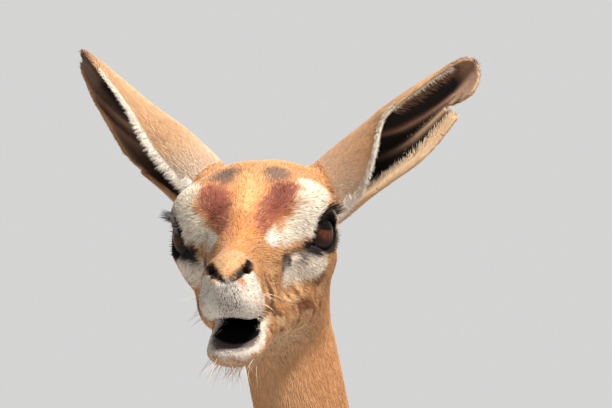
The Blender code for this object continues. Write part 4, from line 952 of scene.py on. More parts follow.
def hair_grain_group():
    """Fine streaks of hair: a shade round 1 and a height, from a noise drawn out along the neck and legs or the
    back."""
    group = bpy.data.node_groups.new("hair grain", "ShaderNodeTree")
    group.interface.new_socket("Fineness", in_out="INPUT", socket_type="NodeSocketFloat")
    group.interface.new_socket("Depth", in_out="INPUT", socket_type="NodeSocketFloat")
    group.interface.new_socket("Shade", in_out="OUTPUT", socket_type="NodeSocketFloat")
    group.interface.new_socket("Height", in_out="OUTPUT", socket_type="NodeSocketFloat")
    entry = node(group, "NodeGroupInput", (-900, 0))
    leaving = node(group, "NodeGroupOutput", (500, 0))
    place = node(group, "ShaderNodeTexCoord", (-900, 300))
    drawn = node(group, "ShaderNodeVectorMath", (-700, 250), operation="MULTIPLY")
    drawn.inputs[1].default_value = (1.0, 0.34, 0.40)
    streaks = node(group, "ShaderNodeTexNoise", (-450, 250), Detail=3.0, Roughness=0.6)
    clumps = node(group, "ShaderNodeTexNoise", (-450, -50), Scale=60.0, Detail=2.0)
    both = node(group, "ShaderNodeMath", (-200, 150), operation="MULTIPLY_ADD")
    both.inputs[1].default_value = 0.65
    spread = node(group, "ShaderNodeMath", (50, 150), operation="SUBTRACT")
    spread.inputs[1].default_value = 0.5
    scaled = node(group, "ShaderNodeMath", (200, 150), operation="MULTIPLY")
    shade = node(group, "ShaderNodeMath", (350, 150), operation="ADD")
    shade.inputs[1].default_value = 1.0
    part_of_clumps = node(group, "ShaderNodeMath", (-320, -50), operation="MULTIPLY")
    part_of_clumps.inputs[1].default_value = 0.35
    for start, end in (
        (place.outputs["Object"], drawn.inputs[0]),
        (drawn.outputs[0], streaks.inputs["Vector"]),
        (place.outputs["Object"], clumps.inputs["Vector"]),
        (entry.outputs["Fineness"], streaks.inputs["Scale"]),
        (clumps.outputs[0], part_of_clumps.inputs[0]),
        (streaks.outputs[0], both.inputs[0]),
        (part_of_clumps.outputs[0], both.inputs[2]),
        (both.outputs[0], spread.inputs[0]),
        (spread.outputs[0], scaled.inputs[0]),
        (entry.outputs["Depth"], scaled.inputs[1]),
        (scaled.outputs[0], shade.inputs[0]),
        (shade.outputs[0], leaving.inputs["Shade"]),
        (both.outputs[0], leaving.inputs["Height"]),
    ):
        group.links.new(start, end)
    return group


hair_grain = hair_grain_group()


def haired(name, fineness, depth, roughness, bump_depth):
    """Hair or haired skin in the dyes of its own mesh, with streaks as fine as asked."""
    made = bpy.data.materials.new(name)
    made.use_nodes = True
    tree = made.node_tree
    shader = tree.nodes["Principled BSDF"]
    shader.inputs["Roughness"].default_value = roughness
    shader.inputs["Specular IOR Level"].default_value = 0.25
    dye = node(tree, "ShaderNodeAttribute", (-900, 200), attribute_name="dye")
    grain = node(tree, "ShaderNodeGroup", (-900, -100), node_tree=hair_grain, Fineness=fineness, Depth=depth)
    shaded = node(tree, "ShaderNodeVectorMath", (-500, 200), operation="SCALE")
    bump = node(tree, "ShaderNodeBump", (-500, -200), Distance=bump_depth, Strength=0.6)
    tree.links.new(dye.outputs["Color"], shaded.inputs[0])
    tree.links.new(grain.outputs["Shade"], shaded.inputs["Scale"])
    tree.links.new(shaded.outputs[0], shader.inputs["Base Color"])
    tree.links.new(grain.outputs["Height"], bump.inputs["Height"])
    tree.links.new(bump.outputs["Normal"], shader.inputs["Normal"])
    return made


def dyed(mesh, colours, name="dye"):
    """Writes a dye for each vertex of a mesh."""
    layer = mesh.color_attributes.new(name, "FLOAT_COLOR", "POINT")
    full = np.ones((len(mesh.vertices), 4), np.float32)
    full[:, :3] = np.clip(colours, 0.0, 1.0)
    layer.data.foreach_set("color", full.ravel())


hide_points = np.empty(len(hide_mesh.vertices) * 3, np.float32)
hide_mesh.vertices.foreach_get("co", hide_points)
hide_points = hide_points.reshape(-1, 3).astype(float) - body_origin
hide_normals = np.empty(len(hide_mesh.vertices) * 3, np.float32)
hide_mesh.vertices.foreach_get("normal", hide_normals)
hide_normals = hide_normals.reshape(-1, 3).astype(float)
hide_corners = np.empty(len(hide_mesh.polygons) * 3, np.int32)
hide_mesh.polygons.foreach_get("vertices", hide_corners)
hide_corners = hide_corners.reshape(-1, 3)
hide_ears = of_ears(to_head(hide_points))
hide_dyes = coat_colours(hide_points, hide_normals, hide_ears) * 0.85
hide_bare = np.zeros(len(hide_points))
hide_high = hide_points[:, 2] > 1.2
hide_bare[hide_high] = bareness(to_head(hide_points[hide_high]))
from_mouth = mouth_hollow(to_head(hide_points))
into_mouth = np.clip((to_head(hide_points)[:, 1] + 0.0910) / 0.004, 0.0, 1.0)
into_mouth = np.maximum(into_mouth, np.clip((to_head(hide_points)[:, 2] + 0.0565) / 0.002, 0.0, 1.0))
inner_lip = covered(from_mouth - 0.0026, 0.002) * hide_high
hide_dyes = painted(hide_dyes, black_skin, hide_bare)
# The skin inside the lips is grey, and deeper into the mouth it is painted near black, painted shade of the mouth's
# hollow.
hide_dyes = painted(hide_dyes, (0.19, 0.150, 0.140), inner_lip * (1.0 - into_mouth))
hide_dyes = painted(hide_dyes, (0.004, 0.003, 0.003), inner_lip * into_mouth)
dyed(hide_mesh, hide_dyes)
bare_layer = hide_mesh.attributes.new("bare", "FLOAT", "POINT")
bare_layer.data.foreach_set("value", hide_bare.astype(np.float32))

hide_finish = haired("haired skin", 700.0, 0.75, 0.75, 0.0006)
hide_tree = hide_finish.node_tree
bare_value = node(hide_tree, "ShaderNodeAttribute", (-900, -400), attribute_name="bare")
wetness = node(hide_tree, "ShaderNodeMapRange", (-500, -450), To_Min=0.75, To_Max=0.58)
hide_tree.links.new(bare_value.outputs["Fac"], wetness.inputs["Value"])
hide_tree.links.new(wetness.outputs[0], hide_tree.nodes["Principled BSDF"].inputs["Roughness"])

flesh_nodes = ["torso", "neck", "head", "jaw", "ear_left", "ear_right", "tail"]
flesh_nodes += [
    f"{limb_name}_{side}_{part}"
    for limb_name in ("foreleg", "hindleg")
    for side in ("left", "right")
    for part in ("upper", "lower")
]
hide = piece("hide", hide_mesh, hide_finish, "fawn_coat", *flesh_nodes)


# The short coat
# Flat pointed tufts of short hair over the whole hide, thin and close, each lying the way the coat lies: from the
# nose back over the head, down the neck, back along the trunk and down the legs. Shortest on the face and feet.
def strands(roots, normals, ways, lengths, widths, lifts, segments=1, pull=(0.0, 0.0, 0.0), thickness=0.35):
    """Tapered closed strands: points and triangles, and for each point its share of the length and its strand.
    They leave the skin at their lifts, and each segment turns further the way they are pulled."""
    count = len(roots)
    across = np.cross(normals, ways)
    across /= np.maximum(np.linalg.norm(across, axis=1), 1e-9)[:, None]
    heading = ways * np.cos(lifts)[:, None] + normals * np.sin(lifts)[:, None]
    place = roots.copy()
    rings = []
    for i in range(segments):
        share = i / segments
        half = (widths / 2 * (1.0 - share) ** 0.7)[:, None]
        top = np.cross(heading, across)
        rings += [place - across * half, place + across * half, place + top * half * 2.0 * thickness]
        place = place + heading * (lengths / segments)[:, None]
        heading = heading + np.array(pull)
        heading /= np.linalg.norm(heading, axis=1)[:, None]
    points = np.stack(rings + [place], 1)
    corners = [(0, 2, 1)]
    for i in range(segments - 1):
        for j in range(3):
            a, b = 3 * i + j, 3 * i + (j + 1) % 3
            corners += [(a, b, b + 3), (a, b + 3, a + 3)]
    last, tip = 3 * (segments - 1), 3 * segments
    corners += [(last + j, last + (j + 1) % 3, tip) for j in range(3)]
    shares = np.repeat(np.arange(segments + 1) / segments, 3)[: 3 * segments + 1]
    shares[-1] = 1.0
    size = 3 * segments + 1
    faces = (np.arange(count) * size)[:, None, None] + np.array(corners)[None]
    return points.reshape(-1, 3), faces.reshape(-1, 3), np.tile(shares, count), np.repeat(np.arange(count), size)


def mapped(mesh, places, shares, owners, faces):
    """The coat's map: each strand a small patch at its root's place on an unwrapping of the skin."""
    patch = 0.003
    size = len(shares) // len(places)
    sideways = np.tile(np.resize((-0.5, 0.5, 0.0), size), len(places))
    spot = places[owners] + np.stack([sideways, shares - 0.5], 1) * patch
    layer = mesh.uv_layers.new(name="OFBake")
    layer.data.foreach_set("uv", np.clip(spot, 0.0, 1.0)[faces.ravel()].astype(np.float32).ravel())


def coat_piece(name, strand_set, dyes, places, material, slot, root_shade=0.84, tip_shade=1.08):
    """Strands as one finished piece, darker at their roots, in the body's frame."""
    points, faces, shares, owners = strand_set
    mesh = mesh_of(name, points + body_origin, faces)
    dyed(mesh, dyes[owners] * (root_shade + (tip_shade - root_shade) * shares)[:, None])
    mapped(mesh, places, shares, owners, faces)
    made = piece(name, mesh, material, slot)
    mesh.shade_flat()
    return made


def scattered(weights, chance):
    """Roots strewn over the hide, as many as the weights of its vertices ask for each square metre."""
    corners = hide_points[hide_corners]
    area = np.linalg.norm(np.cross(corners[:, 1] - corners[:, 0], corners[:, 2] - corners[:, 0]), axis=1) / 2
    heaped = np.cumsum(area * weights[hide_corners].mean(1))
    count = int(heaped[-1])
    chosen = np.searchsorted(heaped, (np.arange(count) + chance.random(count)) / count * heaped[-1])
    chosen = np.minimum(chosen, len(area) - 1)
    first, second = np.sqrt(chance.random(count)), chance.random(count)
    share = np.stack([1 - first, first * (1 - second), first * second], 1)[:, :, None]
    roots = (hide_points[hide_corners[chosen]] * share).sum(1)
    normals = (hide_normals[hide_corners[chosen]] * share).sum(1)
    return roots, normals / np.linalg.norm(normals, axis=1)[:, None], chosen


def unit(vectors):
    return vectors / np.maximum(np.linalg.norm(vectors, axis=1), 1e-9)[:, None]


def lie_of_coat(points, normals, ears):
    """The way the hair lies at points of the body's frame."""
    x, y, z = points.T
    ways = np.tile((0.0, 1.0, -0.30), (len(points), 1))
    chest = np.clip((-0.24 - y) / 0.06, 0.0, 1.0)[:, None]
    ways = ways * (1 - chest) + np.array((0.0, 0.35, -1.0)) * chest
    rump = np.clip((y - 0.27) / 0.07, 0.0, 1.0)[:, None]
    ways = ways * (1 - rump) + np.array((0.0, 0.45, -1.0)) * rump
    leg = np.clip((0.76 - z) / 0.08, 0.0, 1.0)[:, None] * (np.abs(x) > 0.02)[:, None]
    ways = ways * (1 - leg) + np.array((0.0, 0.22, -1.0)) * leg
    rows = np.array(neck_rows)
    slope = np.gradient(rows[:, 1]) / np.gradient(rows[:, 2])
    along_neck = np.stack([0 * z, -np.interp(z, rows[:, 2], slope), -np.ones_like(z)], 1)
    on_neck = (np.clip((z - 0.90) / 0.06, 0.0, 1.0) * np.clip((-0.16 - y) / 0.08, 0.0, 1.0))[:, None]
    ways = ways * (1 - on_neck) + unit(along_neck) * on_neck
    high = z > 1.18
    head_points = to_head(points[high])
    hx, hy, hz = head_points.T
    sides = np.sign(hx)
    back = np.stack([0.12 * sides, np.ones_like(hx), -0.25 - 0.25 * (hz < -0.03)], 1)
    front = np.clip((-0.100 - hy) / 0.018, 0.0, 1.0)[:, None] * np.clip((-0.016 - hz) / 0.008, 0.0, 1.0)[:, None]
    back = back * (1 - front) + np.stack([hx * 45.0, 0.25 + 0 * hx, -0.8 + 0 * hx], 1) * front
    head_ways = unit(back) @ np.array(head_turn.to_3x3()).T
    on_head = headness(head_points)[:, None]
    ways[high] = ways[high] * (1 - on_head) + head_ways * on_head
    for side, sign in (("left", 1.0), ("right", -1.0)):
        here = ears == sign
        ways[here] = np.array(head_turn.to_3x3()) @ (np.array(ear_shapes[side]["way"]))
    swirl = np.stack([waves(points, 0.03, seed) for seed in (41, 42, 43)], 1) * 0.10
    ways = unit(ways) + swirl
    return unit(ways - normals * (ways * normals).sum(1)[:, None])


def unwrapped(points, region):
    """Places of points on an unwrapping of the skin of one region, between 0 and 1 each way."""
    if region in ("face", "crown"):
        points = to_head(points)
        round_way = np.arctan2(points[:, 0], points[:, 2] + 0.015)
        away = np.hypot(points[:, 0], points[:, 2] + 0.015)
        return np.stack([round_way / 6.4 + 0.5, (points[:, 1] + np.minimum(away, 0.04) + 0.13) / 0.28], 1)
    if region == "neck":
        rows = np.array(neck_rows)
        round_way = np.arctan2(points[:, 0], np.interp(points[:, 2], rows[:, 2], rows[:, 1]) - points[:, 1])
        return np.stack([round_way / 6.4 + 0.5, (points[:, 2] - 0.78) / 0.56], 1)
    if region.startswith("trunk"):
        round_way = np.arctan2(np.abs(points[:, 0]), points[:, 2] - 0.775)
        away = np.hypot(points[:, 0], points[:, 2] - 0.775)
        ends = np.where(points[:, 1] > 0.0, 0.18 - away, away - 0.18) * np.clip((np.abs(points[:, 1]) - 0.22) / 0.1, 0.0, 1.0)
        return np.stack([round_way / 3.2, (points[:, 1] + ends + 0.50) / 1.05], 1)
    quarter = (points[:, 0] > 0.0) * 0.5
    leg_rows = {side: np.array(stations_of(("front_" if region == "forelegs" else "hind_") + side)) for side in ("left", "right")}
    middle = np.where(
        (points[:, 0] > 0.0),
        np.interp(-points[:, 2], -leg_rows["left"][:, 2], leg_rows["left"][:, 1]),
        np.interp(-points[:, 2], -leg_rows["right"][:, 2], leg_rows["right"][:, 1]),
    )
    round_way = np.arctan2(np.abs(points[:, 0]) - 0.065, middle - points[:, 1])
    return np.stack([(round_way / 6.4 + 0.5) * 0.48 + quarter + 0.01, points[:, 2] / 0.86], 1)


tuft_heights = (0.00, 0.05, 0.33, 0.55, 0.75, 0.93, 1.05, 1.20, 1.32)
tuft_densities = np.array((3.6, 3.4, 2.6, 1.7, 1.45, 1.7, 2.8, 5.2, 6.0)) * 1e5
tuft_lengths = (0.0030, 0.0035, 0.0055, 0.0080, 0.0110, 0.0095, 0.0075, 0.0050, 0.0045)
tuft_widths = (0.0009, 0.0009, 0.0011, 0.0014, 0.0017, 0.0014, 0.0010, 0.0007, 0.0007)
face_density, crown_density, ear_density = 1.9e6, 1.4e6, 1.5e6
face_length, face_width = 0.0028, 0.00048
ear_coat_length, ear_coat_width = 0.0028, 0.00055

chance = np.random.default_rng(17)
hide_head_points = to_head(hide_points)
hide_headness = headness(hide_head_points) * (hide_points[:, 2] > 1.2)
in_cup = np.zeros(len(hide_points), bool)
for side, sign in (("left", 1.0), ("right", -1.0)):
    here = np.flatnonzero(hide_ears == sign)
    _, _, distance, radius, _, _ = ear_places(hide_head_points[here], side)
    in_cup[here] = distance < radius
density = np.interp(hide_points[:, 2], tuft_heights, tuft_densities)
head_density = np.where(hide_head_points[:, 1] < -0.02, face_density, crown_density)
density = density * (1 - hide_headness) + head_density * hide_headness
density = np.where(hide_ears != 0, np.where(in_cup, 0.0, ear_density), density)
density *= 1.0 - hide_bare
density *= 1.0
roots, root_normals, root_faces = scattered(density, chance)
root_ears = hide_ears[hide_corners[root_faces, 0]]
root_head_points = to_head(roots)
root_headness = headness(root_head_points) * (roots[:, 2] > 1.2)
root_ways = lie_of_coat(roots, root_normals, root_ears)
lengths = np.interp(roots[:, 2], tuft_heights, tuft_lengths)
widths = np.interp(roots[:, 2], tuft_heights, tuft_widths)
muzzle_share = np.clip((root_head_points[:, 1] + 0.125) / 0.05, 0.45, 1.0)
lengths = lengths * (1 - root_headness) + face_length * muzzle_share * root_headness
widths = widths * (1 - root_headness) + face_width * root_headness
lengths = np.where(root_ears != 0, ear_coat_length, lengths)
widths = np.where(root_ears != 0, ear_coat_width, widths)
lengths *= chance.uniform(0.7, 1.3, len(roots))
widths *= chance.uniform(0.8, 1.2, len(roots))
lifts = np.radians(chance.uniform(2.0, 7.0, len(roots)) + 6.0 * root_headness)
root_ways = unit(root_ways + np.cross(root_normals, root_ways) * chance.normal(0.0, 0.13, len(roots))[:, None])

# Hairs of neighbouring marks mingle, so each tuft takes its dye from a place a little up or down the coat
drift = root_ways * (chance.normal(0.0, 0.35, len(roots)) * lengths)[:, None]
dyes = coat_colours(roots + drift * (root_ears == 0)[:, None], root_normals, root_ears)
unevenness = np.where(root_ears != 0, 0.06, 0.07 + 0.10 * root_headness)
brightness = np.exp(chance.normal(0.0, 1.0, len(roots)) * unevenness)
grizzled = (chance.random(len(roots)) < 0.12) & (root_headness > 0.5) & (root_ears == 0)
dyes = np.where(grizzled[:, None], dyes * np.array((0.42, 0.38, 0.36)), dyes * brightness[:, None])
dark_among_white = (rod(root_head_points, *speckled_strip) < 0.0) & (chance.random(len(roots)) < 0.35)
dyes = np.where(dark_among_white[:, None], np.array((0.11, 0.080, 0.075)), dyes)
# A few strands everywhere are painted brighter as hairs that catch the light, a painted highlight; on the head there
# are more of them, for its pale grizzled hair.
sunlit_and_pale_strands = (chance.random(len(roots)) < 0.03 + 0.09 * root_headness * (root_ears == 0)) & (dyes.sum(1) > 0.6)
dyes = np.where(sunlit_and_pale_strands[:, None], dyes * 0.65 + np.array((0.30, 0.25, 0.18)), dyes)

regions = {
    "face": (root_headness > 0.5) & (root_ears == 0) & (root_head_points[:, 1] < -0.02),
    "crown": (root_headness > 0.5) & (root_ears == 0) & (root_head_points[:, 1] >= -0.02),
    "neck": (root_headness <= 0.5) & (roots[:, 2] > 0.90) & (roots[:, 1] < -0.20),
}
taken = regions["face"] | regions["crown"] | regions["neck"] | (root_ears != 0)
regions["forelegs"] = ~taken & (roots[:, 2] < 0.66) & (roots[:, 1] < 0.03)
regions["hindlegs"] = ~taken & (roots[:, 2] < 0.68) & (roots[:, 1] >= 0.03)
taken |= regions["forelegs"] | regions["hindlegs"]
regions["trunk_left"] = ~taken & (roots[:, 0] >= 0.0)
regions["trunk_right"] = ~taken & (roots[:, 0] < 0.0)
coat_finish = haired("short hair", 1500.0, 0.5, 0.62, 0.0002)
most_in_a_piece = 49500
for region, held in regions.items():
    chosen = np.flatnonzero(held)
    for part, some in enumerate(np.array_split(chosen, -(-len(chosen) // most_in_a_piece))):
        strand_set = strands(roots[some], root_normals[some], root_ways[some], lengths[some], widths[some], lifts[some])
        places = unwrapped(roots[some], region)
        coat_piece(f"coat_{region}_{part + 1}", strand_set, dyes[some], places, coat_finish, "fawn_coat")


# The ears' hair
# Short hair on their backs, long pale fringes along the inner edges, brown tufts inside the upper rims, a pale
# band inside the outer edges and thin hair along the ridges. A white tuft stands where each ear leaves the head.
def ear_hair(side, count, shares, across, inside, leans, lengths, width, dye, spread):
    """Hairs on an ear between two shares of its length and two places across it, as strands, dyes and map places.
    They lean by parts towards the outer edge, towards the tip and off the surface, and shorten towards the tip."""
    sign = 1.0 if side == "left" else -1.0
    share = chance.uniform(*shares, count)
    place = chance.uniform(*across, count)
    way, middle, open_way, side_way, radius, half = ear_frame(side, share)
    angle = place * half * sign
    away = side_way * np.sin(angle)[:, None] - open_way * np.cos(angle)[:, None]
    outward = (side_way * np.cos(angle)[:, None] + open_way * np.sin(angle)[:, None]) * sign
    roots = middle + away * (radius + (-0.0009 if inside else 0.0009))[:, None]
    kept = ear_form(roots, side) < 0.0008
    share, place, away, outward, roots = share[kept], place[kept], away[kept], outward[kept], roots[kept]
    count = len(share)
    normals = away * (-1.0 if inside else 1.0)
    to_edge, to_tip, off = leans
    ways = outward * to_edge + way * to_tip + chance.normal(0.0, 0.28, (count, 3))
    ways = unit(ways - normals * (ways * normals).sum(1)[:, None])
    turn = np.array(head_turn.to_3x3())
    strand_set = strands(
        roots @ turn.T + (0.0, -0.600, 1.315),
        normals @ turn.T,
        ways @ turn.T,
        chance.uniform(*lengths, count) * (1.15 - 0.55 * (share - shares[0]) / (shares[1] - shares[0])),
        np.full(count, width),
        np.arctan(off * chance.uniform(0.4, 1.6, count)),
        2,
    )
    return strand_set, np.array(dye) * np.exp(chance.normal(0.0, spread, count))[:, None], on_ear(side, share, place, inside)


def on_ear(side, share, place, inside):
    """Map places on the unwrapped ears: the left in one half, the right in the other, cups over backs."""
    return np.stack([0.25 + place * 0.24 + (0.0 if side == "left" else 0.5), share * 0.48 + 0.5 * inside + 0.01], 1)


ear_hair_finish = haired("ear hair", 1500.0, 0.4, 0.62, 0.0002)
cream, ear_brown, ear_tan = (0.84, 0.77, 0.67), (0.24, 0.125, 0.08), (0.74, 0.53, 0.34)
# Number, shares of the length, places across, in the cup or on the back, leans, lengths, width, dye and its spread
hair_on_both = (
    (900, (0.00, 0.30), (-1.0, -0.40), False, (-0.5, 1.00, 0.30), (0.0030, 0.0058), 0.0005, (0.74, 0.64, 0.53), 0.20),
    (1100, (0.08, 0.22), (-1.0, -0.88), False, (-1.0, -0.60, 0.50), (0.0025, 0.0054), 0.0006, (0.95, 0.89, 0.81), 0.06),
)
hair_on_one = {
    "left": (
        # The left ear's fringe hairs are painted brighter than the right's cream, painted light on a fringe that faces
        # away from the key lamp.
        (1300, (0.12, 0.64), (-1.0, -0.95), False, (-1.0, 0.00, 0.60), (0.0012, 0.0064), 0.0005, (0.95, 0.88, 0.78), 0.18),
        (2000, (0.12, 0.64), (-1.0, -0.94), True, (1.0, -0.10, 0.60), (0.0020, 0.0098), 0.0005, (0.95, 0.88, 0.78), 0.20),
        (1000, (0.58, 0.93), (-0.72, -0.22), True, (0.7, 0.80, 0.55), (0.0035, 0.0075), 0.0006, ear_brown, 0.35),
        (420, (0.60, 0.92), (-0.98, -0.70), True, (1.0, 0.10, 0.60), (0.0030, 0.0090), 0.0006, (0.90, 0.76, 0.60), 0.22),
        (2200, (0.12, 0.78), (0.72, 0.99), True, (-0.5, 0.90, 0.22), (0.0035, 0.0065), 0.0006, ear_tan, 0.16),
        (900, (0.12, 0.80), (0.66, 0.80), True, (-0.6, 0.90, 0.40), (0.0020, 0.0055), 0.0005, (0.80, 0.64, 0.48), 0.20),
        (1000, (0.46, 0.82), (0.41, 0.55), True, (-0.2, 1.00, 0.30), (0.0025, 0.0045), 0.0005, (0.78, 0.57, 0.38), 0.30),
    ),
    "right": (
        (2600, (0.12, 0.86), (-1.0, -0.94), False, (-1.0, 0.00, 0.50), (0.0012, 0.0068), 0.0005, cream, 0.20),
        (2200, (0.12, 0.84), (-1.0, -0.95), True, (0.9, 0.10, 0.90), (0.0012, 0.0062), 0.0005, cream, 0.20),
        (400, (0.60, 0.90), (-0.95, -0.70), True, (0.7, 0.80, 0.50), (0.0025, 0.0050), 0.0005, ear_brown, 0.35),
        (700, (0.10, 0.80), (0.90, 0.99), True, (-0.3, 1.00, 0.18), (0.0020, 0.0036), 0.0005, (0.46, 0.26, 0.15), 0.25),
        (300, (0.45, 0.80), (0.60, 0.90), True, (-0.1, 1.00, 0.20), (0.0020, 0.0034), 0.0004, (0.26, 0.15, 0.10), 0.30),
    ),
}
for side, sign in (("left", 1.0), ("right", -1.0)):
    held = np.flatnonzero(root_ears == sign)
    share, angle, distance, radius, half, past = ear_places(root_head_points[held], side)
    places = on_ear(side, share, np.clip(angle / half, -1.0, 1.0) * sign, distance < radius)
    short = strands(roots[held], root_normals[held], root_ways[held], lengths[held], widths[held], lifts[held])
    coat_piece(f"coat_ear_{side}", short, dyes[held], places, ear_hair_finish, "ear_skin")
    for number, hair in enumerate(hair_on_both + hair_on_one[side]):
        strand_set, hair_dyes, places = ear_hair(side, *hair)
        coat_piece(f"ear_{side}_hair_{number + 1}", strand_set, hair_dyes, places, ear_hair_finish, "ear_skin", 0.8, 1.08)


# The eyes
# Large dark wet balls in the sockets, with a clear bulge over a reddish-brown iris and a pupil like a dark slot
# that lies level. The whites hardly show.
# The pupil is set high and large, so that its black also stands for the shade the upper lid and lashes cast on the eye:
# partly a real pupil, partly painted shade.
iris_reach, pupil_reach = math.radians(44.0), math.radians(18.0)
look = Vector((0.80, -0.42, 0.47)).normalized()
eye_finish = bpy.data.materials.new("wet eye")
eye_finish.use_nodes = True
eye_tree = eye_finish.node_tree
eye_shader = eye_tree.nodes["Principled BSDF"]
eye_shader.inputs["Roughness"].default_value = 0.05
eye_shader.inputs["Specular IOR Level"].default_value = 0.12
eye_shader.inputs["Coat Weight"].default_value = 0.08
eye_shader.inputs["Coat Roughness"].default_value = 0.03
eye_dye = node(eye_tree, "ShaderNodeAttribute", (-900, 200), attribute_name="dye")
eye_place = node(eye_tree, "ShaderNodeTexCoord", (-1100, -50))
eye_cloud = node(eye_tree, "ShaderNodeTexNoise", (-900, -50), Scale=900.0, Detail=3.0)
eye_range = node(eye_tree, "ShaderNodeMapRange", (-700, -50), To_Min=0.75, To_Max=1.25)
eye_shade = node(eye_tree, "ShaderNodeVectorMath", (-500, 200), operation="SCALE")
eye_tree.links.new(eye_place.outputs["Object"], eye_cloud.inputs["Vector"])
eye_tree.links.new(eye_cloud.outputs[0], eye_range.inputs["Value"])
eye_tree.links.new(eye_dye.outputs["Color"], eye_shade.inputs[0])
eye_tree.links.new(eye_range.outputs[0], eye_shade.inputs["Scale"])
eye_tree.links.new(eye_shade.outputs[0], eye_shader.inputs["Base Color"])
for side, sign in (("left", 1.0), ("right", -1.0)):
    ball = bmesh.new()
    bmesh.ops.create_uvsphere(ball, u_segments=72, v_segments=54, radius=eye_radius)
    bmesh.ops.triangulate(ball, faces=ball.faces)
    ball_mesh = bpy.data.meshes.new("eyeball")
    ball.to_mesh(ball_mesh)
    ball.free()
    spots = np.array([vertex.co for vertex in ball_mesh.vertices])
    away = np.arccos(np.clip(spots[:, 2] / eye_radius, -1.0, 1.0))
    round_way = np.arctan2(spots[:, 1], spots[:, 0])
    bulge = 0.0011 * np.clip(1.0 - (away / iris_reach) ** 2, 0.0, 1.0) ** 1.5
    turned_look = Vector((look.x * sign, look.y, look.z))
    turn = head_turn.to_3x3() @ turned_look.to_track_quat("Z", "Y").to_matrix()
    centre = head_place + head_turn @ Vector((eye_at.x * sign, eye_at.y, eye_at.z))
    level = turned_look.to_track_quat("Z", "Y").to_matrix().transposed() @ Vector((0.0, 0.0, 1.0))
    up_angle = math.atan2(level.y, level.x)
    height = np.sin(away) * np.cos(round_way - up_angle)
    width = np.sin(away) * np.sin(round_way - up_angle)
    pupil = np.hypot(height / math.sin(pupil_reach), width / math.sin(pupil_reach * 1.7))
    streaks = 0.5 + 0.5 * np.sin(round_way * 46.0 + 2.0 * np.sin(round_way * 13.0))
    iris = np.array((0.090, 0.029, 0.016)) * (0.65 + 0.6 * streaks)[:, None]
    iris = painted(iris, (0.03, 0.010, 0.007), np.clip((away / iris_reach - 0.78) / 0.2, 0.0, 1.0))
    shades = painted(iris, (0.020, 0.010, 0.008), np.clip((away - iris_reach) / 0.06, 0.0, 1.0))
    shades = painted(shades, (0.004, 0.003, 0.003), np.clip((1.12 - pupil) / 0.2, 0.0, 1.0))
    spots = (spots * (1.0 + bulge / eye_radius)[:, None]) @ np.array(turn).T + np.array(centre)
    ball_mesh.vertices.foreach_set("co", spots.astype(np.float32).ravel())
    dyed(ball_mesh, shades)
    piece(f"eyeball_{side}", ball_mesh, eye_finish, "eye", f"eye_{side}")


# Lashes, whiskers and bristles
# Dark lashes stand out over the eyes. Stiff pale bristles fan down and forward from the chin and out from the
# sides of the muzzle.
lash_sets = []
for sign in (1.0, -1.0):
    for upper, count, length in ((1.0, 210, (0.0100, 0.0150)), (-1.0, 26, (0.0025, 0.0045))):
        along = np.linspace(-0.93, 0.88, count) * opening_half_length
        high = upper * (opening_half_height * lid_arch(along) + 0.0006)
        deep = np.sqrt((eye_radius + 0.0012) ** 2 - along**2 - high**2)
        frame_ways = [np.array(axis) for axis in (opening_long, opening_high, gaze)]
        root = np.array(eye_at) + sum(part[:, None] * axis for part, axis in zip((along, high, deep), frame_ways))
        heading = frame_ways[2] * 0.95 + frame_ways[1] * 0.34 * upper - frame_ways[0] * 0.42
        heading = np.tile(heading, (count, 1)) + chance.normal(0.0, 0.09, (count, 3))
        normal = unit(root - np.array(eye_at))
        flip = np.array((sign, 1.0, 1.0))
        turn_back = np.array(head_turn.to_3x3()).T
        root, heading, normal = ((part * flip) @ turn_back for part in (root, heading, normal))
        across = unit(np.cross(heading, np.tile((0.0, 0.0, 1.0), (count, 1))))
        lash_sets.append(
            strands(
                root + (0.0, -0.600, 1.315),
                unit(np.cross(across, heading)),
                unit(heading),
                chance.uniform(*length, count),
                np.full(count, 0.00055),
                np.zeros(count),
                4,
                (0.0, 0.0, -0.12 if upper > 0 else 0.05),
                0.8,
            )
        )
dark_hair_finish = haired("dark hair", 1500.0, 0.3, 0.45, 0.0001)
for number, lash_set in enumerate(lash_sets):
    count = lash_set[3].max() + 1
    lash_dyes = np.tile((0.018, 0.012, 0.010), (count, 1))
    lash_places = np.stack([0.1 + 0.8 * np.arange(count) / count, np.full(count, 0.2 + 0.2 * number)], 1)
    coat_piece(f"lashes_{number + 1}", lash_set, lash_dyes, lash_places, dark_hair_finish, "black_hair", 1.0, 1.0)


def bristles(name, centre, spread, heading, fan, count, length, width, dye, pull):
    """Bristles rooted on the hide round a place of the head's frame, fanning out from a heading."""
    spots = np.array(centre) + chance.normal(0.0, 1.0, (count, 3)) * spread
    gap = ((spots[:, None] - hide_head_points[near_muzzle][None]) ** 2).sum(2).argmin(1)
    rooted = near_muzzle[gap]
    ways = unit(np.array(heading) + chance.normal(0.0, 1.0, (count, 3)) * fan) @ np.array(head_turn.to_3x3()).T
    across = unit(np.cross(ways, np.tile((0.1, 0.2, 1.0), (count, 1))))
    strand_set = strands(
        hide_points[rooted] - hide_normals[rooted] * 0.0004,
        np.cross(across, ways),
        ways,
        chance.uniform(*length, count),
        np.full(count, width),
        np.zeros(count),
        6,
        pull,
        0.8,
    )
    dyes = np.array(dye) * np.exp(chance.normal(0.0, 0.15, count))[:, None]
    places = unwrapped(hide_points[rooted], "face")
    coat_piece(name, strand_set, dyes, places, ear_hair_finish, "pale_coat", 1.0, 1.0)


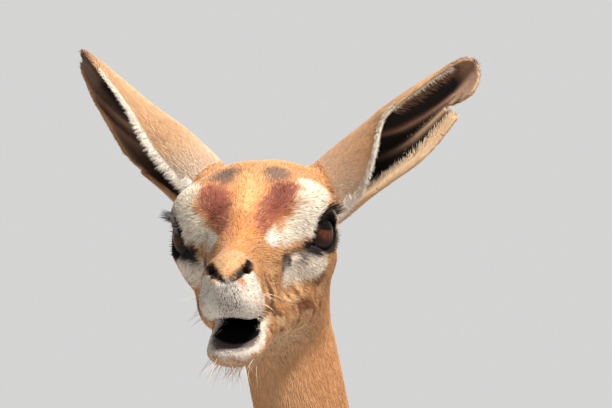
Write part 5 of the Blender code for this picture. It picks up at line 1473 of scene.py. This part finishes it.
near_muzzle = np.flatnonzero((hide_head_points[:, 1] < -0.06) & (hide_head_points[:, 2] > -0.10) & (hide_bare < 0.3))
pale = (0.78, 0.62, 0.45)
bristles("bristles_chin", (-0.003, -0.099, -0.077), (0.009, 0.009, 0.004), (-0.35, -0.60, -0.9), (0.45, 0.3, 0.25), 70, (0.006, 0.019), 0.00026, pale, (0.0, 0.0, -0.03))
for side, sign in (("left", 1.0), ("right", -1.0)):
    spot = (sign * 0.015, -0.104, -0.042)
    bristles(f"bristles_lip_{side}", spot, (0.003, 0.007, 0.006), (sign, -0.35, -0.35), (0.3, 0.3, 0.25), 16, (0.006, 0.015), 0.00022, pale, (0.0, 0.0, -0.06))


# The hooves
# Two narrow pointed hooves of dark streaked horn on each foot, flat below, set a little apart, with faint rings of
# growth round their walls.
hoof_length, hoof_height, hoof_width = 0.054, 0.034, 0.0172


def hoof(around, levels):
    """One hoof as points and faces, its sole on the ground, its toe towards -Y and its outer side towards +X."""
    angles = np.arange(around) * 2 * math.pi / around
    along, out = np.cos(angles), np.sin(angles)
    width = hoof_width * np.where(out > 0, 0.80, 0.20) * (1.0 + 0.30 * along)
    rings = []
    for level in np.linspace(0.0, 1.0, levels):
        ring = 0.00022 * math.sin(level * 40.0) * (0.0 < level < 1.0)
        front, back = 1.0 - 0.72 * level, 1.0 - 0.10 * level
        y = (hoof_length / 2 + ring) * along * np.where(along > 0, back, front)
        flare = 1.0 - 0.24 * level - (0.04 if level == 0.0 else 0.0)
        top = hoof_height * (0.78 - 0.22 * along)
        rings.append(np.stack([(width * flare + ring) * out, y, level * top], 1))
    points = np.concatenate(rings + [[rings[0].mean(0)], [rings[-1].mean(0) + (0.0, 0.0, 0.002)]])
    faces = []
    for i in range(levels - 1):
        for j in range(around):
            k = (j + 1) % around
            a, b, c, d = i * around + j, i * around + k, (i + 1) * around + k, (i + 1) * around + j
            faces += [(a, c, b), (a, d, c)]
    last, sole, top = (levels - 1) * around, len(points) - 2, len(points) - 1
    for j in range(around):
        k = (j + 1) % around
        faces += [(sole, j, k), (top, last + k, last + j)]
    return points, np.array(faces)


horn_finish = haired("streaked horn", 260.0, 0.9, 0.42, 0.0003)
for leg in strides:
    foot = np.array(stations_of(leg)[-1][:3])
    limb_name = ("fore_" if leg.startswith("front") else "hind_") + leg.split("_")[1]
    for outer, label in ((1.0, "outer"), (-1.0, "inner")):
        sign = outer if leg.endswith("left") else -outer
        points, faces = hoof(40, 22)
        points = points * (sign, 1.0, 1.0)
        faces = faces if sign > 0 else faces[:, ::-1]
        splay = np.array(Matrix.Rotation(math.radians(2.0) * sign, 3, "Z"))
        place = np.array((foot[0] + sign * (hoof_width * 0.20 + 0.0020), foot[1] - 0.0080, 0.0))
        mesh = mesh_of("hoof", points @ splay.T + place + body_origin, faces)
        mark = waves(points, 0.010, 51)
        dyed(mesh, np.array((0.045, 0.032, 0.026)) * (1.0 + 0.35 * mark)[:, None])
        node_name = f"hoof_{limb_name}_{label}"
        piece(node_name + "_horn", mesh, horn_finish, "horn", node_name)


# The tail's tuft
# Long coarse black hair that springs from the last part of the tail and hangs in a loose tapering brush.
tail_course = course(tail_rows, 8)
count = 1500
along = chance.uniform(0.0, 1.0, count) ** 0.8
height = 0.705 - 0.080 * along
turn_round = chance.uniform(0.0, 2 * math.pi, count)
order = np.argsort(tail_course[:, 2])
core = np.stack([np.interp(height, tail_course[order, 2], tail_course[order, axis]) for axis in (0, 1, 3)], 1)
out_way = np.stack([np.cos(turn_round), np.sin(turn_round), 0 * along], 1)
tuft_roots = np.stack([core[:, 0], core[:, 1], height], 1) + out_way * (core[:, 2] * 0.7)[:, None]
tuft_ways = unit(out_way * (0.20 - 0.08 * along)[:, None] + (0.0, 0.0, -1.0) + chance.normal(0.0, 0.06, (count, 3)))
tuft_lengths = np.minimum(chance.uniform(0.040, 0.072, count), (height - 0.567) * 0.98)
across = unit(np.cross(tuft_ways, out_way))
tuft_set = strands(
    tuft_roots, unit(np.cross(across, tuft_ways)), tuft_ways, tuft_lengths, np.full(count, 0.0013), np.zeros(count), 5,
    (0.0, 0.0, -0.12), 0.6
)
tuft_dyes = np.array((0.022, 0.016, 0.014)) * np.exp(chance.normal(0.0, 0.35, count))[:, None]
tuft_places = np.stack([turn_round / 6.4 + 0.01, along * 0.9 + 0.05], 1)
tail_tuft = coat_piece("tail_brush", tuft_set, tuft_dyes, tuft_places, dark_hair_finish, "black_hair", 0.9, 1.4)
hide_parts("tail_tuft")
